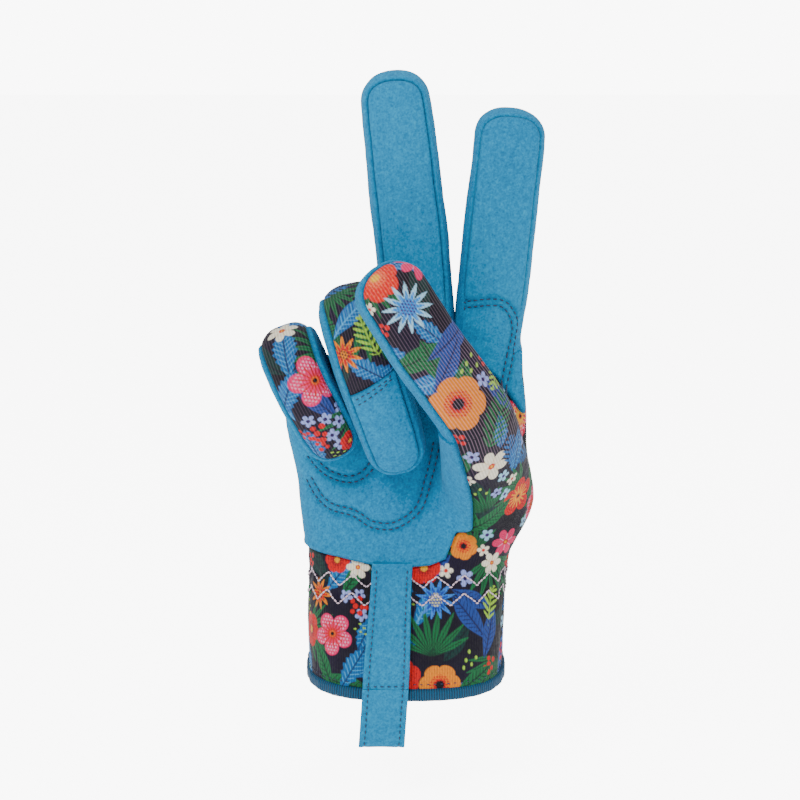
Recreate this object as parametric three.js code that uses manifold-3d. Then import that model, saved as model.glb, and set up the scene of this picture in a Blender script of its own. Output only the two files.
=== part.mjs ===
// A right-hand gardening glove in the V-sign pose: suede palm side, printed stretch back, bound cuff, pull tab.
// Millimetres. +Z runs from the cuff to the fingertips, -Y is the palm side, +X is the thumb side.
// The origin is the centre of the wrist opening. Each finger is a tube of four panels with two flex joints.
import * as THREE from "three";
import { mergeVertices } from "three/addons/utils/BufferGeometryUtils.js";
import Module from "manifold-3d";

const wasm = await Module();
wasm.setup();

// ---- driving dimensions ----
const SUEDE = 1.2; // synthetic suede of the palm side
const PRINT = 1.0; // printed stretch fabric
const SEAM_GAP = 0.35; // between two panels that meet at a seam
const LAYER_GAP = 0.35; // between two layers that lie on each other
const FOAM = 1.8; // padding under the palm
const LINING = 0.6;
const ELASTIC = 0.9;
const ELASTIC_WIDTH = 4;
const ELASTIC_DROPS = [4, 13]; // from the cuff's top to the two wrist elastics
const BINDING = 0.8; // hem tape thickness
const BINDING_HEIGHT = 5;
const TAB_WIDTH = 17.5;
const TAB_LAYER = 1.1;
const TAB_LOOP_DROP = 21.5; // from the tab's stitch row to its fold
const TAB_LOOP_GAP = 3;
const TAB_PLACE = -8.8; // along X, from the middle of the cuff
const TAB_ROW_HEIGHT = 1.5; // where the sewn strip ends and the loop begins
const TAB_TOP_RISE = 0.5; // of the sewn strip above the cuff
const JOINT_GAP = 0.5; // between a finger segment and what it turns on
const TIP_LENGTH = 11; // rounded end of a fingertip
const CAP_LENGTH = 21; // fingertip cap on the back, from the tip

const CUFF_HEIGHT = 46;
const WRIST_HALF = 38.5; // half the cuff's width where it meets the palm
const HEM_DEPTH = 31; // half the cuff's depth at the hem
const PALM_HALF = 45.5; // half the palm's greatest width
const PALM_TOP = 120; // height of the knuckle line at X = 0
const KNUCKLE_SLOPE = 0.16; // the knuckle line rises towards the index finger
const HEM_TILT = 0.12; // the hem dips on the palm side

const ROUNDNESS = 2.7; // superellipse power of every cross-section
const CORNER = 55; // degrees that a front or back panel reaches either side of its middle
const DOWN = -90;
const UP = 90;

const rad = THREE.MathUtils.degToRad;
const vec = (x, y, z) => new THREE.Vector3(x, y, z);

const material = (color, roughness) => new THREE.MeshStandardMaterial({ color, roughness, metalness: 0 });
const suede = material("#1f8cb8", 0.9);
const print = material("#2b2747", 0.75);
const tape = material("#0f6f8f", 0.7);
const foam = material("#e9e4d6", 0.95);
const lining = material("#1a6d8f", 0.9);
const elastic = material("#e8e8e8", 0.8);

const glove = new THREE.Group();

function add(name, geometry, look) {
  const mesh = new THREE.Mesh(geometry, look);
  mesh.name = name;
  glove.add(mesh);
  return mesh;
}

// ---- cross-sections ----
// A station is one cross-section of a tube: its centre, width axis u, thickness axis v (towards the back
// of the hand), direction w, half sizes, scale (for domed ends) and how far a point slides along w.
function station(centre, direction, back, halfWidth, halfThick, more = {}) {
  const w = direction.clone().normalize();
  const v = back.clone().addScaledVector(w, -back.dot(w)).normalize();
  const u = v.clone().cross(w);
  return { c: centre, u, v, w, hw: halfWidth, ht: halfThick, scale: 1, dome: 0, slide: null, ...more };
}

const power = (t) => Math.sign(t) * Math.abs(t) ** (2 / ROUNDNESS);

function sectionPoint(s, degrees, inset) {
  const a = rad(degrees);
  const x = (s.hw - inset) * s.scale * power(Math.cos(a));
  const y = (s.ht - inset) * s.scale * power(Math.sin(a));
  const p = s.c.clone().addScaledVector(s.u, x).addScaledVector(s.v, y);
  p.addScaledVector(s.w, -inset * s.dome);
  return s.slide ? p.addScaledVector(s.w, s.slide(p, s.w)) : p;
}

// The same cross-section further along its tube.
const drop = (s, distance) => ({ ...s, c: s.c.clone().addScaledVector(s.w, distance) });

// ---- closed meshes ----
function closedGeometry(points, triangles) {
  const geometry = new THREE.BufferGeometry();
  geometry.setAttribute("position", new THREE.Float32BufferAttribute(points.flatMap((p) => p.toArray()), 3));
  const volume = triangles.reduce((sum, [a, b, c]) => {
    return sum + points[a].dot(points[b].clone().cross(points[c]));
  }, 0);
  geometry.setIndex(volume < 0 ? triangles.flatMap(([a, b, c]) => [a, c, b]) : triangles.flat());
  return geometry;
}

// Joins a row of equal loops into a tube; the ends are closed by a fan, or the last loop joins the first.
function loopsToSolid(loops, ring = false) {
  const n = loops[0].length;
  const points = loops.flat();
  const triangles = [];
  const rows = ring ? loops.length : loops.length - 1;
  for (let i = 0; i < rows; i++) {
    const here = i * n;
    const next = ((i + 1) % loops.length) * n;
    for (let j = 0; j < n; j++) {
      const k = (j + 1) % n;
      triangles.push([here + j, here + k, next + k], [here + j, next + k, next + j]);
    }
  }
  return { points, triangles, n };
}

// A strip of the tube's wall between two angles, with its own thickness.
function panel(stations, from, to, steps, outer, thickness) {
  const loops = stations.map((s) => {
    const angles = Array.from({ length: steps + 1 }, (_, j) => from + ((to - from) * j) / steps);
    const outside = angles.map((a) => sectionPoint(s, a, outer));
    const inside = angles.map((a) => sectionPoint(s, a, outer + thickness));
    return [...outside, ...inside.reverse()];
  });
  const { points, triangles, n } = loopsToSolid(loops);
  const last = (loops.length - 1) * n;
  for (let j = 0; j < steps; j++) {
    const [a, b, c, d] = [j, j + 1, n - 2 - j, n - 1 - j];
    triangles.push([a, c, b], [a, d, c]);
    triangles.push([last + a, last + b, last + c], [last + a, last + c, last + d]);
  }
  return closedGeometry(points, triangles);
}

// The whole inside of a tube as one solid, for cutting.
function filled(stations, inset) {
  const steps = 24;
  const loops = stations.map((s) => {
    return Array.from({ length: steps }, (_, j) => sectionPoint(s, (j * 360) / steps, inset));
  });
  const { points, triangles, n } = loopsToSolid(loops);
  for (const start of [0, (loops.length - 1) * n]) {
    for (let j = 1; j < n - 1; j++) {
      triangles.push(start ? [start, start + j, start + j + 1] : [start, start + j + 1, start + j]);
    }
  }
  return closedGeometry(points, triangles);
}

// A closed band round the tube: each corner of its profile is a station and an inset from that station's edge.
function band(profile, steps = 32) {
  const loops = Array.from({ length: steps }, (_, j) => {
    return profile.map(([s, inset]) => sectionPoint(s, (j * 360) / steps, inset));
  });
  const { points, triangles } = loopsToSolid(loops, true);
  return closedGeometry(points, triangles);
}

// ---- booleans ----
function toSolid(geometry) {
  const bare = geometry.clone();
  bare.deleteAttribute("normal");
  bare.deleteAttribute("uv");
  const merged = mergeVertices(bare, 1e-4);
  return new wasm.Manifold(
    new wasm.Mesh({
      numProp: 3,
      vertProperties: new Float32Array(merged.attributes.position.array),
      triVerts: new Uint32Array(merged.index.array),
    }),
  );
}

function toGeometry(solid) {
  const bodies = solid.decompose().sort((a, b) => b.volume() - a.volume());
  const mesh = bodies[0].getMesh();
  const geometry = new THREE.BufferGeometry();
  geometry.setAttribute("position", new THREE.BufferAttribute(new Float32Array(mesh.vertProperties), 3));
  geometry.setIndex(new THREE.BufferAttribute(new Uint32Array(mesh.triVerts), 1));
  return geometry;
}

const cut = (geometry, ...tools) => toGeometry(tools.reduce((s, t) => s.subtract(toSolid(t)), toSolid(geometry)));

// ---- joints ----
// Each hinge turns about `axis` through `at`; a positive angle curls towards the palm.
const hinges = {};
function hinge(name, at, back, direction) {
  const w = direction.clone().normalize();
  const v = back.clone().addScaledVector(w, -back.dot(w)).normalize();
  hinges[name] = { at: at.toArray(), axis: v.cross(w).toArray() };
}

// How far an end's points slide so that two ends can turn about a hinge without meeting: the end rises from
// the plane through the hinge by one angle on the palm side and another on the back. side is 1 for the end
// above the plane, -1 for the end below it.
function wedge(at, normal, back, palmAngle, backAngle, side = 1, gap = JOINT_GAP) {
  const up = normal.clone().normalize();
  const across = back.clone().addScaledVector(up, -back.dot(up)).normalize();
  return (p, w) => {
    const d = p.clone().sub(at);
    const reach = [-Math.tan(rad(palmAngle)), Math.tan(rad(backAngle))].map((slope) => {
      return (side * (gap + d.dot(across) * slope) - d.dot(up)) / (w.dot(up) - side * slope * w.dot(across));
    });
    return side * Math.max(side * reach[0], side * reach[1]);
  };
}

// ---- hand and cuff ----
// Cross-sections of the hand: height, middle X, middle Y, half width, half depth, slope along X, tilt along Y.
const handHeight = (share) => CUFF_HEIGHT + 0.6 + share * (PALM_TOP - CUFF_HEIGHT - 0.6);
const HAND = [
  [handHeight(0), -0.5, 0, WRIST_HALF, 24, 0, 0],
  [handHeight(0.18), 1, 0, PALM_HALF - 4, 21.5, 0, 0],
  [handHeight(0.45), 1, 0, PALM_HALF - 2, 19, 0.04, 0],
  [handHeight(0.73), -1, 1, PALM_HALF, 16.5, 0.1, 0],
  [PALM_TOP, -3, 2.5, PALM_HALF - 0.5, 12.8, KNUCKLE_SLOPE, 0],
];
const CUFF = [
  [0, -1.7, 0, WRIST_HALF - 0.9, HEM_DEPTH, 0, HEM_TILT],
  [BINDING_HEIGHT + 1, -1.7, 0, WRIST_HALF - 0.9, HEM_DEPTH, 0, HEM_TILT * 0.8],
  [0.4 * CUFF_HEIGHT, -1.7, 0, WRIST_HALF - 0.7, HEM_DEPTH - 1, 0, HEM_TILT / 2],
  [0.7 * CUFF_HEIGHT, -1.2, 0, WRIST_HALF - 0.5, 0.85 * HEM_DEPTH, 0, 0],
  [CUFF_HEIGHT, -0.5, 0, WRIST_HALF, 24, 0, 0],
];

// A level cross-section whose points rise with X and with Y.
function level([height, x, y, halfWidth, halfDepth, slope, tilt]) {
  const slide = (p) => slope * p.x + tilt * p.y;
  return station(vec(x, y, height), vec(0, 0, 1), vec(0, 1, 0), halfWidth, halfDepth, { slide });
}
const hand = HAND.map(level);
const cuff = CUFF.map(level);
const knuckleHeight = (x) => PALM_TOP + KNUCKLE_SLOPE * x;
const rimNormal = vec(-KNUCKLE_SLOPE, 0, 1).normalize();

// The cross-section of a list of them at a height in between.
function between(rows, z) {
  const i = Math.max(1, rows.findIndex((row) => row[0] >= z));
  const t = (z - rows[i - 1][0]) / (rows[i][0] - rows[i - 1][0]);
  return rows[i].map((value, k) => rows[i - 1][k] + (value - rows[i - 1][k]) * t);
}

const PALM_FROM = 166; // the suede wraps the little-finger edge of the hand
const PALM_TO = 344;
const seamAngle = (width) => THREE.MathUtils.radToDeg(SEAM_GAP / width);
const handSeam = seamAngle(HAND[2][4]);
const palmLayer = SUEDE + LAYER_GAP;
const foamLayer = palmLayer + FOAM + LAYER_GAP;

// ---- thumb ----
// Centreline, back direction and half sizes from the wrist to the first thumb joint, and on to the tip.
const THUMB_BACK = vec(0.3, -1, 0.1);
const fromPalmTop = (x, y, z) => vec(x, y, PALM_TOP + z);
const THUMB_JOINT = fromPalmTop(24, -46, -11);
const THUMB_BEND = fromPalmTop(4.5, -53, 16.5);
const THUMB_TIP = fromPalmTop(-12.5, -52, 44.5);
const THUMB_FLEX = 3;
const THUMB_LIFT = 35;
const THUMB_STRAIGHTEN = 20;
const THUMB_WIDE = 13.4;
const THUMB_THICK = 9.8;
const thumbRootBack = vec(0.62, -0.75, -0.1);
const rootDirection = THUMB_JOINT.clone().sub(fromPalmTop(32, -6, -50));
const thumbRoot = [
  station(fromPalmTop(30, -4, -54), vec(-0.1, -0.6, 0.8), thumbRootBack, 18, 13),
  station(fromPalmTop(28.5, -22, -36), rootDirection, thumbRootBack, 16.5, 12.5),
  station(fromPalmTop(26, -37, -21), rootDirection, thumbRootBack, 14.6, 11.5),
  station(THUMB_JOINT.clone().addScaledVector(rootDirection.clone().normalize(), -2.6),
    rootDirection, THUMB_BACK, 13.4, 10),
];
const PALM_SEAM = 288; // angle of the seam between the palm suede and the thumb's print, below the thumb
const THUMB_PANEL_TOP = PALM_TOP - 32;
const lowHand = [HAND[0], HAND[1], HAND[2], between(HAND, THUMB_PANEL_TOP)].map(level);
const handOutside = filled(hand, -SEAM_GAP);
const thumbHole = filled(thumbRoot, PRINT + 1.5);
const thumbClear = filled(thumbRoot, -SEAM_GAP);
const around = (rows, from, to, steps, gap = SEAM_GAP) => panel(rows, from, to, steps, -gap, SUEDE + 2 * gap);

// The palm side is open where the thumb leaves it; below the thumb its suede ends at the thumb panel's seam.
const lowCorner = around([drop(lowHand[0], -3), ...lowHand], PALM_SEAM, PALM_TO + 3, 8);
const rootBackClear = around([drop(thumbRoot[0], -2), ...thumbRoot], -9, 189, 8, 2 * SEAM_GAP);
add("palm_panel", cut(panel(hand, PALM_FROM, PALM_TO, 14, 0, SUEDE), thumbHole, lowCorner, rootBackClear), suede);
add("back_panel", cut(panel(hand, PALM_TO - 360 + handSeam, PALM_FROM - handSeam, 12, 0, PRINT), thumbHole), print);
const backClear = around(hand, PALM_TO - 360, PALM_FROM, 12);
const belowThumb = cut(
  panel([...lowHand.slice(0, -1), drop(lowHand.at(-1), -SEAM_GAP)], PALM_SEAM + handSeam, PALM_TO, 7, 0, PRINT),
  filled(thumbRoot, PRINT),
);
const rootBack = cut(panel(thumbRoot, -6, 186, 8, 0, PRINT), filled(hand, PRINT));
add("thumb_root_back", cut(toGeometry(toSolid(belowThumb).add(toSolid(rootBack))), backClear), print);
add("thumb_root_palm", cut(panel(thumbRoot, -172, -8, 7, 0, SUEDE), handOutside), suede);

// Foam pads lie between the suede and the lining.
const padRows = (low, high) => [low, (low + high) / 2, high].map((z) => level(between(HAND, PALM_TOP + z)));
const pads = {
  palm_pad_foam: [padRows(-50, -28), 222, 262],
  little_finger_pad_foam: [padRows(-26, -12), 214, 248],
  index_pad_foam: [padRows(-14, -3), 283, 318],
};
for (const [name, [rows, from, to]] of Object.entries(pads)) {
  add(name, cut(panel(rows, from, to, 5, palmLayer, FOAM), thumbClear), foam);
}
add("palm_lining", cut(panel(padRows(-62, -2), 190, 322, 9, foamLayer, LINING), thumbClear), lining);

const CUFF_STEPS = 16; // half of a band's, so that their corners match
add("cuff_front", panel(cuff, 180 + handSeam, 360 - handSeam, CUFF_STEPS, 0, PRINT), print);
add("cuff_back", panel(cuff, 0, 180, CUFF_STEPS, 0, PRINT), print);
const hem = BINDING + LAYER_GAP;
const hemTop = level(between(CUFF, BINDING_HEIGHT - hem));
const [hemBottom, hemFold] = [drop(cuff[0], -hem), drop(cuff[0], -LAYER_GAP)];
add("hem_binding", band([
  [hemBottom, -hem], [hemTop, -hem], [hemTop, -LAYER_GAP], [hemFold, -LAYER_GAP],
  [hemFold, PRINT + LAYER_GAP], [hemTop, PRINT + LAYER_GAP], [hemTop, PRINT + hem], [hemBottom, PRINT + hem],
]), tape);
const elasticInset = PRINT + 1.5 * LAYER_GAP;
for (const [i, name] of ["wrist_elastic_upper", "wrist_elastic_lower"].entries()) {
  const height = CUFF_HEIGHT - ELASTIC_DROPS[i];
  const [low, high] = [height - ELASTIC_WIDTH / 2, height + ELASTIC_WIDTH / 2].map((z) => level(between(CUFF, z)));
  const inside = elasticInset + ELASTIC;
  add(name, band([[low, elasticInset], [low, inside], [high, inside], [high, elasticInset]]), elastic);
}

// ---- pull tab ----
// The strip follows the cuff's front; the loop hangs from its last stitch row and folds on itself.
function ribbon(path, width, thickness) {
  const loops = path.map((p, i) => {
    const before = path[Math.max(0, i - 1)];
    const after = path[Math.min(path.length - 1, i + 1)];
    const along = after.clone().sub(before).normalize();
    const out = along.clone().cross(vec(1, 0, 0)).normalize();
    const side = (s, t) => p.clone().add(vec((s * width) / 2, 0, 0)).addScaledVector(out, (t * thickness) / 2);
    return [side(-1, -1), side(1, -1), side(1, 1), side(-1, 1)];
  });
  const { points, triangles } = loopsToSolid(loops);
  const last = points.length - 4;
  triangles.push([0, 2, 1], [0, 3, 2], [last, last + 1, last + 2], [last, last + 2, last + 3]);
  return closedGeometry(points, triangles);
}
const stripGap = hem + LAYER_GAP + TAB_LAYER;
const stripHeights = [
  CUFF_HEIGHT + TAB_TOP_RISE,
  ...[0.83, 0.61, 0.39, 0.22].map((share) => share * CUFF_HEIGHT),
  TAB_ROW_HEIGHT + JOINT_GAP,
];
const stripPath = stripHeights.map((z) => {
  return vec(TAB_PLACE, -between(CUFF, Math.min(z, CUFF_HEIGHT))[4] - stripGap, z);
});
add("pull_tab_strip", ribbon(stripPath, TAB_WIDTH, 2 * TAB_LAYER), suede);

// Both legs of the loop run close together past the hem, then open round the fold.
const tabY = stripPath.at(-1).y;
const tabFold = TAB_ROW_HEIGHT - TAB_LOOP_DROP;
const foldRadius = (TAB_LOOP_GAP + TAB_LAYER) / 2;
const legGap = (TAB_LAYER + LAYER_GAP) / 2;
const tabPoint = (y, z) => vec(TAB_PLACE, tabY + y, z);
const loopPath = [
  tabPoint(-legGap, TAB_ROW_HEIGHT - JOINT_GAP),
  tabPoint(-legGap, -HEM_TILT * CUFF[0][4] - 3),
  tabPoint(-foldRadius, tabFold + 2.2 * foldRadius),
  ...[0, 45, 90, 135, 180].map((a) => {
    return tabPoint(-foldRadius * Math.cos(rad(a)), tabFold + foldRadius * (1 - Math.sin(rad(a))));
  }),
  tabPoint(foldRadius, tabFold + 2.2 * foldRadius),
  tabPoint(legGap, -HEM_TILT * CUFF[0][4] - 3),
  tabPoint(legGap, TAB_ROW_HEIGHT - JOINT_GAP),
];
add("pull_tab_loop", ribbon(loopPath, TAB_WIDTH, TAB_LAYER), suede);

// ---- fingers ----
function dome(s, length) {
  return [0, 30, 55, 72, 84].map((a) => {
    const scale = Math.cos(rad(a)) ** 0.75;
    const centre = s.c.clone().addScaledVector(s.w, length * Math.sin(rad(a)));
    return { ...s, c: centre, scale, dome: Math.sin(rad(a)), slide: null };
  });
}

// Four panels round a run of stations: front and left and right sides in suede, back in print.
function tube(name, stations, frontStations = stations) {
  const seam = seamAngle(11);
  const lower = CORNER + seam;
  add(`${name}_front`, panel(frontStations, DOWN - CORNER, DOWN + CORNER, 4, 0, SUEDE), suede);
  add(`${name}_back`, panel(stations, UP - CORNER, UP + CORNER, 4, 0, PRINT), print);
  add(`${name}_right_side`, panel(stations, DOWN + lower, UP - lower, 2, 0, SUEDE), suede);
  add(`${name}_left_side`, panel(stations, UP + lower, DOWN + 360 - lower, 2, 0, SUEDE), suede);
}

// Half sizes and places of the straight fingers; bend and tip are measured from the knuckle, as are the
// places of the curled fingers further down.
const straight = {
  index: {
    knuckle: vec(29.1, 3, 0), bend: vec(4.2, -1, 42.3), tip: vec(9.1, -2.5, 92.6),
    root: 11.6, crotch: 13.5, wide: 13.4, end: 13, thick: 10.6, knuckleFlex: 50, knuckleBack: 8, bendFlex: 80,
  },
  middle: {
    knuckle: vec(5.1, 3, 0), bend: vec(-5, 0, 50.2), tip: vec(-11.7, -1, 110.2),
    root: 11.6, crotch: 13.7, wide: 13.9, end: 12.6, thick: 10.9, knuckleFlex: 15, knuckleBack: 8, bendFlex: 55,
  },
};
const HINGE_INSET = 5.2; // a straight finger's hinge lies this far behind its palm side

for (const [name, f] of Object.entries(straight)) {
  f.knuckle.z = knuckleHeight(f.knuckle.x);
  f.bend.add(f.knuckle);
  f.tip.add(f.knuckle);
  const back = vec(0, 1, 0);
  const lowerWay = f.bend.clone().sub(f.knuckle);
  const upperWay = f.tip.clone().sub(f.bend);
  const hingeAt = (c) => vec(c.x, c.y - f.thick + HINGE_INSET, c.z);
  const knuckleAt = hingeAt(f.knuckle);
  const bendAt = hingeAt(f.bend);
  hinge(`${name}_knuckle`, knuckleAt, back, rimNormal);
  hinge(`${name}_bend`, bendAt, back, lowerWay);
  const baseCut = wedge(knuckleAt, rimNormal, back, f.knuckleFlex + 2, f.knuckleBack + 1);
  const halfFold = f.bendFlex / 2 + 1;
  const bendCut = (side) => wedge(bendAt, lowerWay, back, halfFold, 0.5, side, JOINT_GAP / 2);
  const middle = f.knuckle.clone().lerp(f.bend, 0.5);
  tube(`${name}_lower`, [
    station(f.knuckle, lowerWay, back, f.root, f.thick, { slide: baseCut }),
    station(middle, lowerWay, back, f.crotch, f.thick),
    station(f.bend, lowerWay, back, f.wide, f.thick, { slide: bendCut(-1) }),
  ]);
  const tipStart = f.tip.clone().addScaledVector(upperWay.clone().normalize(), -TIP_LENGTH);
  const end = station(tipStart, upperWay, back, f.end, f.thick - 0.5);
  const upper = [
    station(f.bend, upperWay, back, f.wide, f.thick, { slide: bendCut(1) }),
    station(f.bend.clone().lerp(tipStart, 0.5), upperWay, back, (f.wide + f.end) / 2 + 0.2, f.thick),
    ...dome(end, TIP_LENGTH),
  ];
  tube(`${name}_upper`, upper);
  const capStart = f.tip.clone().addScaledVector(upperWay.clone().normalize(), -CAP_LENGTH);
  const capRows = [station(capStart, upperWay, back, f.end + 0.1, f.thick - 0.3), ...dome(end, TIP_LENGTH).slice(0, 4)];
  add(`${name}_tip_cap`, panel(capRows, UP - 48, UP + 48, 4, -SUEDE - LAYER_GAP, SUEDE), suede);
}

// A curled finger leaves the knuckle line forwards and up, turns over its middle joint and comes down.
const curled = {
  ring: {
    knuckle: vec(-18, 1, 0), turn: vec(0, -28, 16.9), turnRadius: 12, tip: vec(11.8, -29, -20.6),
    lean: vec(0.27, 0, -0.96), wide: 12.5, thick: 10.4, root: 11, knuckleOpen: 18, bendOpen: 26, fingertip: 10.2,
  },
  pinky: {
    knuckle: vec(-38.4, 1, 0), turn: vec(-2.6, -25, 6.6), turnRadius: 11, tip: vec(7.2, -26.5, -13.4),
    lean: vec(0.375, 0, -0.927), wide: 10.9, thick: 9.4, root: 9.3, knuckleOpen: 12, bendOpen: 35, fingertip: 9.3,
  },
};
const LOWER_ARC = 40; // degrees of the turn that the lower segment covers
const NEST = 1.7; // how much smaller the upper segment is where it slides inside the lower one

for (const [name, f] of Object.entries(curled)) {
  f.knuckle.z = knuckleHeight(f.knuckle.x);
  f.turn.add(f.knuckle);
  f.tip.add(f.knuckle);
  // Directions in the plane of the turn: forward is -Y, down follows the finger's lean.
  const down = f.lean.clone().normalize();
  const spoke = (degrees) => {
    const a = rad(degrees);
    return vec(0, Math.cos(a), 0).addScaledVector(down, -Math.sin(a));
  };
  const along = (degrees) => spoke(degrees + 90);
  const START = 37; // angle of the spoke where the lower segment meets the turn
  const comingDown = f.tip.clone().sub(f.turn.clone().addScaledVector(spoke(180), f.turnRadius)).normalize();
  const END = 195; // angle of the spoke where the turn ends
  const row = (degrees, shrink, slide = null) => {
    const out = spoke(degrees);
    const centre = f.turn.clone().addScaledVector(out, f.turnRadius);
    return station(centre, along(degrees), out, f.wide - shrink, f.thick - shrink, { slide });
  };
  const first = row(START, 0);
  const lowerWay = first.c.clone().sub(f.knuckle);
  hinge(`${name}_knuckle`, f.knuckle, vec(0, 1, 0), rimNormal);
  hinge(`${name}_bend`, f.turn, vec(0, 1, 0), down.clone().negate());
  const baseCut = wedge(f.knuckle, rimNormal, vec(0, 1, 0), 1, f.knuckleOpen + 2);
  const base = station(f.knuckle, lowerWay, first.v, f.root, f.thick - 0.3, { slide: baseCut });
  const lower = [base, first, row(START + LOWER_ARC / 2, 0), row(START + LOWER_ARC, 0)];
  tube(`${name}_lower`, lower, [base, first]);

  const nestEnd = START + LOWER_ARC + f.bendOpen + 3;
  const upperStart = START + LOWER_ARC - 8;
  const last = row(END, 0);
  const tipWay = f.tip.clone().sub(last.c);
  const end = station(f.tip, tipWay, last.v, f.wide - 0.6, f.thick - 0.5);
  const upper = [
    row(upperStart, NEST), row(nestEnd, NEST), row(nestEnd + 1, 0), row((nestEnd + END) / 2, 0), last,
    ...dome(end, f.fingertip),
  ];
  tube(`${name}_upper`, upper, [last, ...dome(end, f.fingertip)]);
  if (name === "ring") {
    const capRows = [station(f.tip.clone().lerp(last.c, 0.35), tipWay, last.v, f.wide - 0.4, f.thick - 0.3),
      ...dome(end, f.fingertip).slice(0, 4)];
    add("ring_tip_cap", panel(capRows, UP - 48, UP + 48, 4, -SUEDE - LAYER_GAP, SUEDE), suede);
  }
}

// ---- thumb segments ----
const thumbWay = THUMB_BEND.clone().sub(THUMB_JOINT);
const thumbTipWay = THUMB_TIP.clone().sub(THUMB_BEND);
const thumbUnit = thumbWay.clone().normalize();
const thumbHingeBack = 3; // the thumb's hinges lie towards its back, because it opens that way
const thumbBackUnit = THUMB_BACK.clone().normalize();
const liftHinge = THUMB_JOINT.clone().addScaledVector(thumbBackUnit, thumbHingeBack);
const bendHinge = THUMB_BEND.clone().addScaledVector(thumbBackUnit, thumbHingeBack);
const liftCut = wedge(liftHinge, rootDirection, THUMB_BACK, 2, THUMB_LIFT + 2);
const thumbBendCut = wedge(bendHinge, thumbWay, THUMB_BACK, THUMB_FLEX + 2, THUMB_STRAIGHTEN + 2);
hinge("thumb_lift", liftHinge, THUMB_BACK, thumbWay);
hinge("thumb_bend", bendHinge, THUMB_BACK, thumbWay);
hinges.tab_swing = { at: [TAB_PLACE, tabY - TAB_LAYER - LAYER_GAP, TAB_ROW_HEIGHT], axis: [-1, 0, 0] };
const thumbLower = [
  station(THUMB_JOINT, thumbWay, THUMB_BACK, THUMB_WIDE, THUMB_THICK, { slide: liftCut }),
  station(THUMB_JOINT.clone().lerp(THUMB_BEND, 0.5), thumbWay, THUMB_BACK, THUMB_WIDE, THUMB_THICK),
  station(THUMB_BEND.clone().addScaledVector(thumbUnit, -JOINT_GAP), thumbWay, THUMB_BACK, THUMB_WIDE, THUMB_THICK),
];
const thumbDomeStart = THUMB_TIP.clone().addScaledVector(thumbTipWay.clone().normalize(), -TIP_LENGTH);
const thumbUpper = [
  station(THUMB_BEND, thumbTipWay, THUMB_BACK, THUMB_WIDE, THUMB_THICK, { slide: thumbBendCut }),
  ...dome(station(thumbDomeStart, thumbTipWay, THUMB_BACK, THUMB_WIDE - 1, THUMB_THICK - 0.5), TIP_LENGTH),
];
for (const [name, rows] of [["thumb_lower", thumbLower], ["thumb_upper", thumbUpper]]) {
  add(`${name}_back`, panel(rows, 2, 178, 6, 0, PRINT), print);
  add(`${name}_front`, panel(rows, -178, -2, 6, 0, SUEDE), suede);
}

glove.userData.hinges = hinges;
export default glove;
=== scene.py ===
"""A right-hand gardening glove: suede-cloth palm, printed knit back, taped hem and a pull tab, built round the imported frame."""

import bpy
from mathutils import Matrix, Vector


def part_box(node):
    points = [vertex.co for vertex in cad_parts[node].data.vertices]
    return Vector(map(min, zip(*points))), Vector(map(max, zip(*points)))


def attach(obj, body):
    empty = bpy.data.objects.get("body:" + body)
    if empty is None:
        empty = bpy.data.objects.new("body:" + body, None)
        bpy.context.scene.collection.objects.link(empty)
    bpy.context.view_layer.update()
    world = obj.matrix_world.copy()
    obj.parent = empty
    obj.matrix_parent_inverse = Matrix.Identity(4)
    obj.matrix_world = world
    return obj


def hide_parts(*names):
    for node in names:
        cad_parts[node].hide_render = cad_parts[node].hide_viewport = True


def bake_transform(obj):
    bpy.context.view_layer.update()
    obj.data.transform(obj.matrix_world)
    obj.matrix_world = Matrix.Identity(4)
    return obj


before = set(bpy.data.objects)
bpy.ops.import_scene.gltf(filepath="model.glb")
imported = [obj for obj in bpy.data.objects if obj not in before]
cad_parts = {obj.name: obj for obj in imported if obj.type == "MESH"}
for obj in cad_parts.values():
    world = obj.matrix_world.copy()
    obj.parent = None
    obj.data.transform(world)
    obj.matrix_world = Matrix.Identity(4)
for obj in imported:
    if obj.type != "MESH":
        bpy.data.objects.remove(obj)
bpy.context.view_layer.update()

import logging
import math
from dataclasses import dataclass, field
from enum import Enum
from typing import Callable, Iterable, Sequence

import bpy
import numpy as np
from mathutils import Vector
from mathutils.bvhtree import BVHTree
from mathutils.kdtree import KDTree

LOG = logging.getLogger("gardening_glove")
MM = 0.001
FAR = 30.0  # a distance that counts as far away, mm
SURFACE_STEP = 0.75  # mesh pitch of the cloth surfaces, mm
TIP_CAP = 21.0  # length of a straight fingertip's suede cap, mm
RING_CAP = 41.0  # the same on the ring finger, at the middle of its slanting edge, mm
RING_CAP_SLANT = 3.3  # rise of that edge from the finger's middle to its side, mm
RING_CAP_ROWS = (39.6, 37.4)  # distance of its stitch rows from the fingertip, mm
Array = np.ndarray


# ---------------------------------------------------------------- small maths
def vec(*numbers: float) -> Array:
    """A float vector."""
    return np.array(numbers, float)


def unit(v: Array) -> Array:
    """v scaled to length one, row by row."""
    return v / np.maximum(np.linalg.norm(v, axis=-1, keepdims=True), 1e-9)


def ramp(low: float, high: float, value: Array) -> Array:
    """Smooth step from 0 at low to 1 at high."""
    t = np.clip((value - low) / (high - low), 0, 1)
    return t * t * (3 - 2 * t)


def soft_min(a: Array, b: Array, k: Array | float) -> Array:
    """Minimum of two distances with a fillet of about k mm."""
    h = np.maximum(k - np.abs(a - b), 0) / np.maximum(k, 1e-6)
    return np.minimum(a, b) - h * h * k / 4


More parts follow.
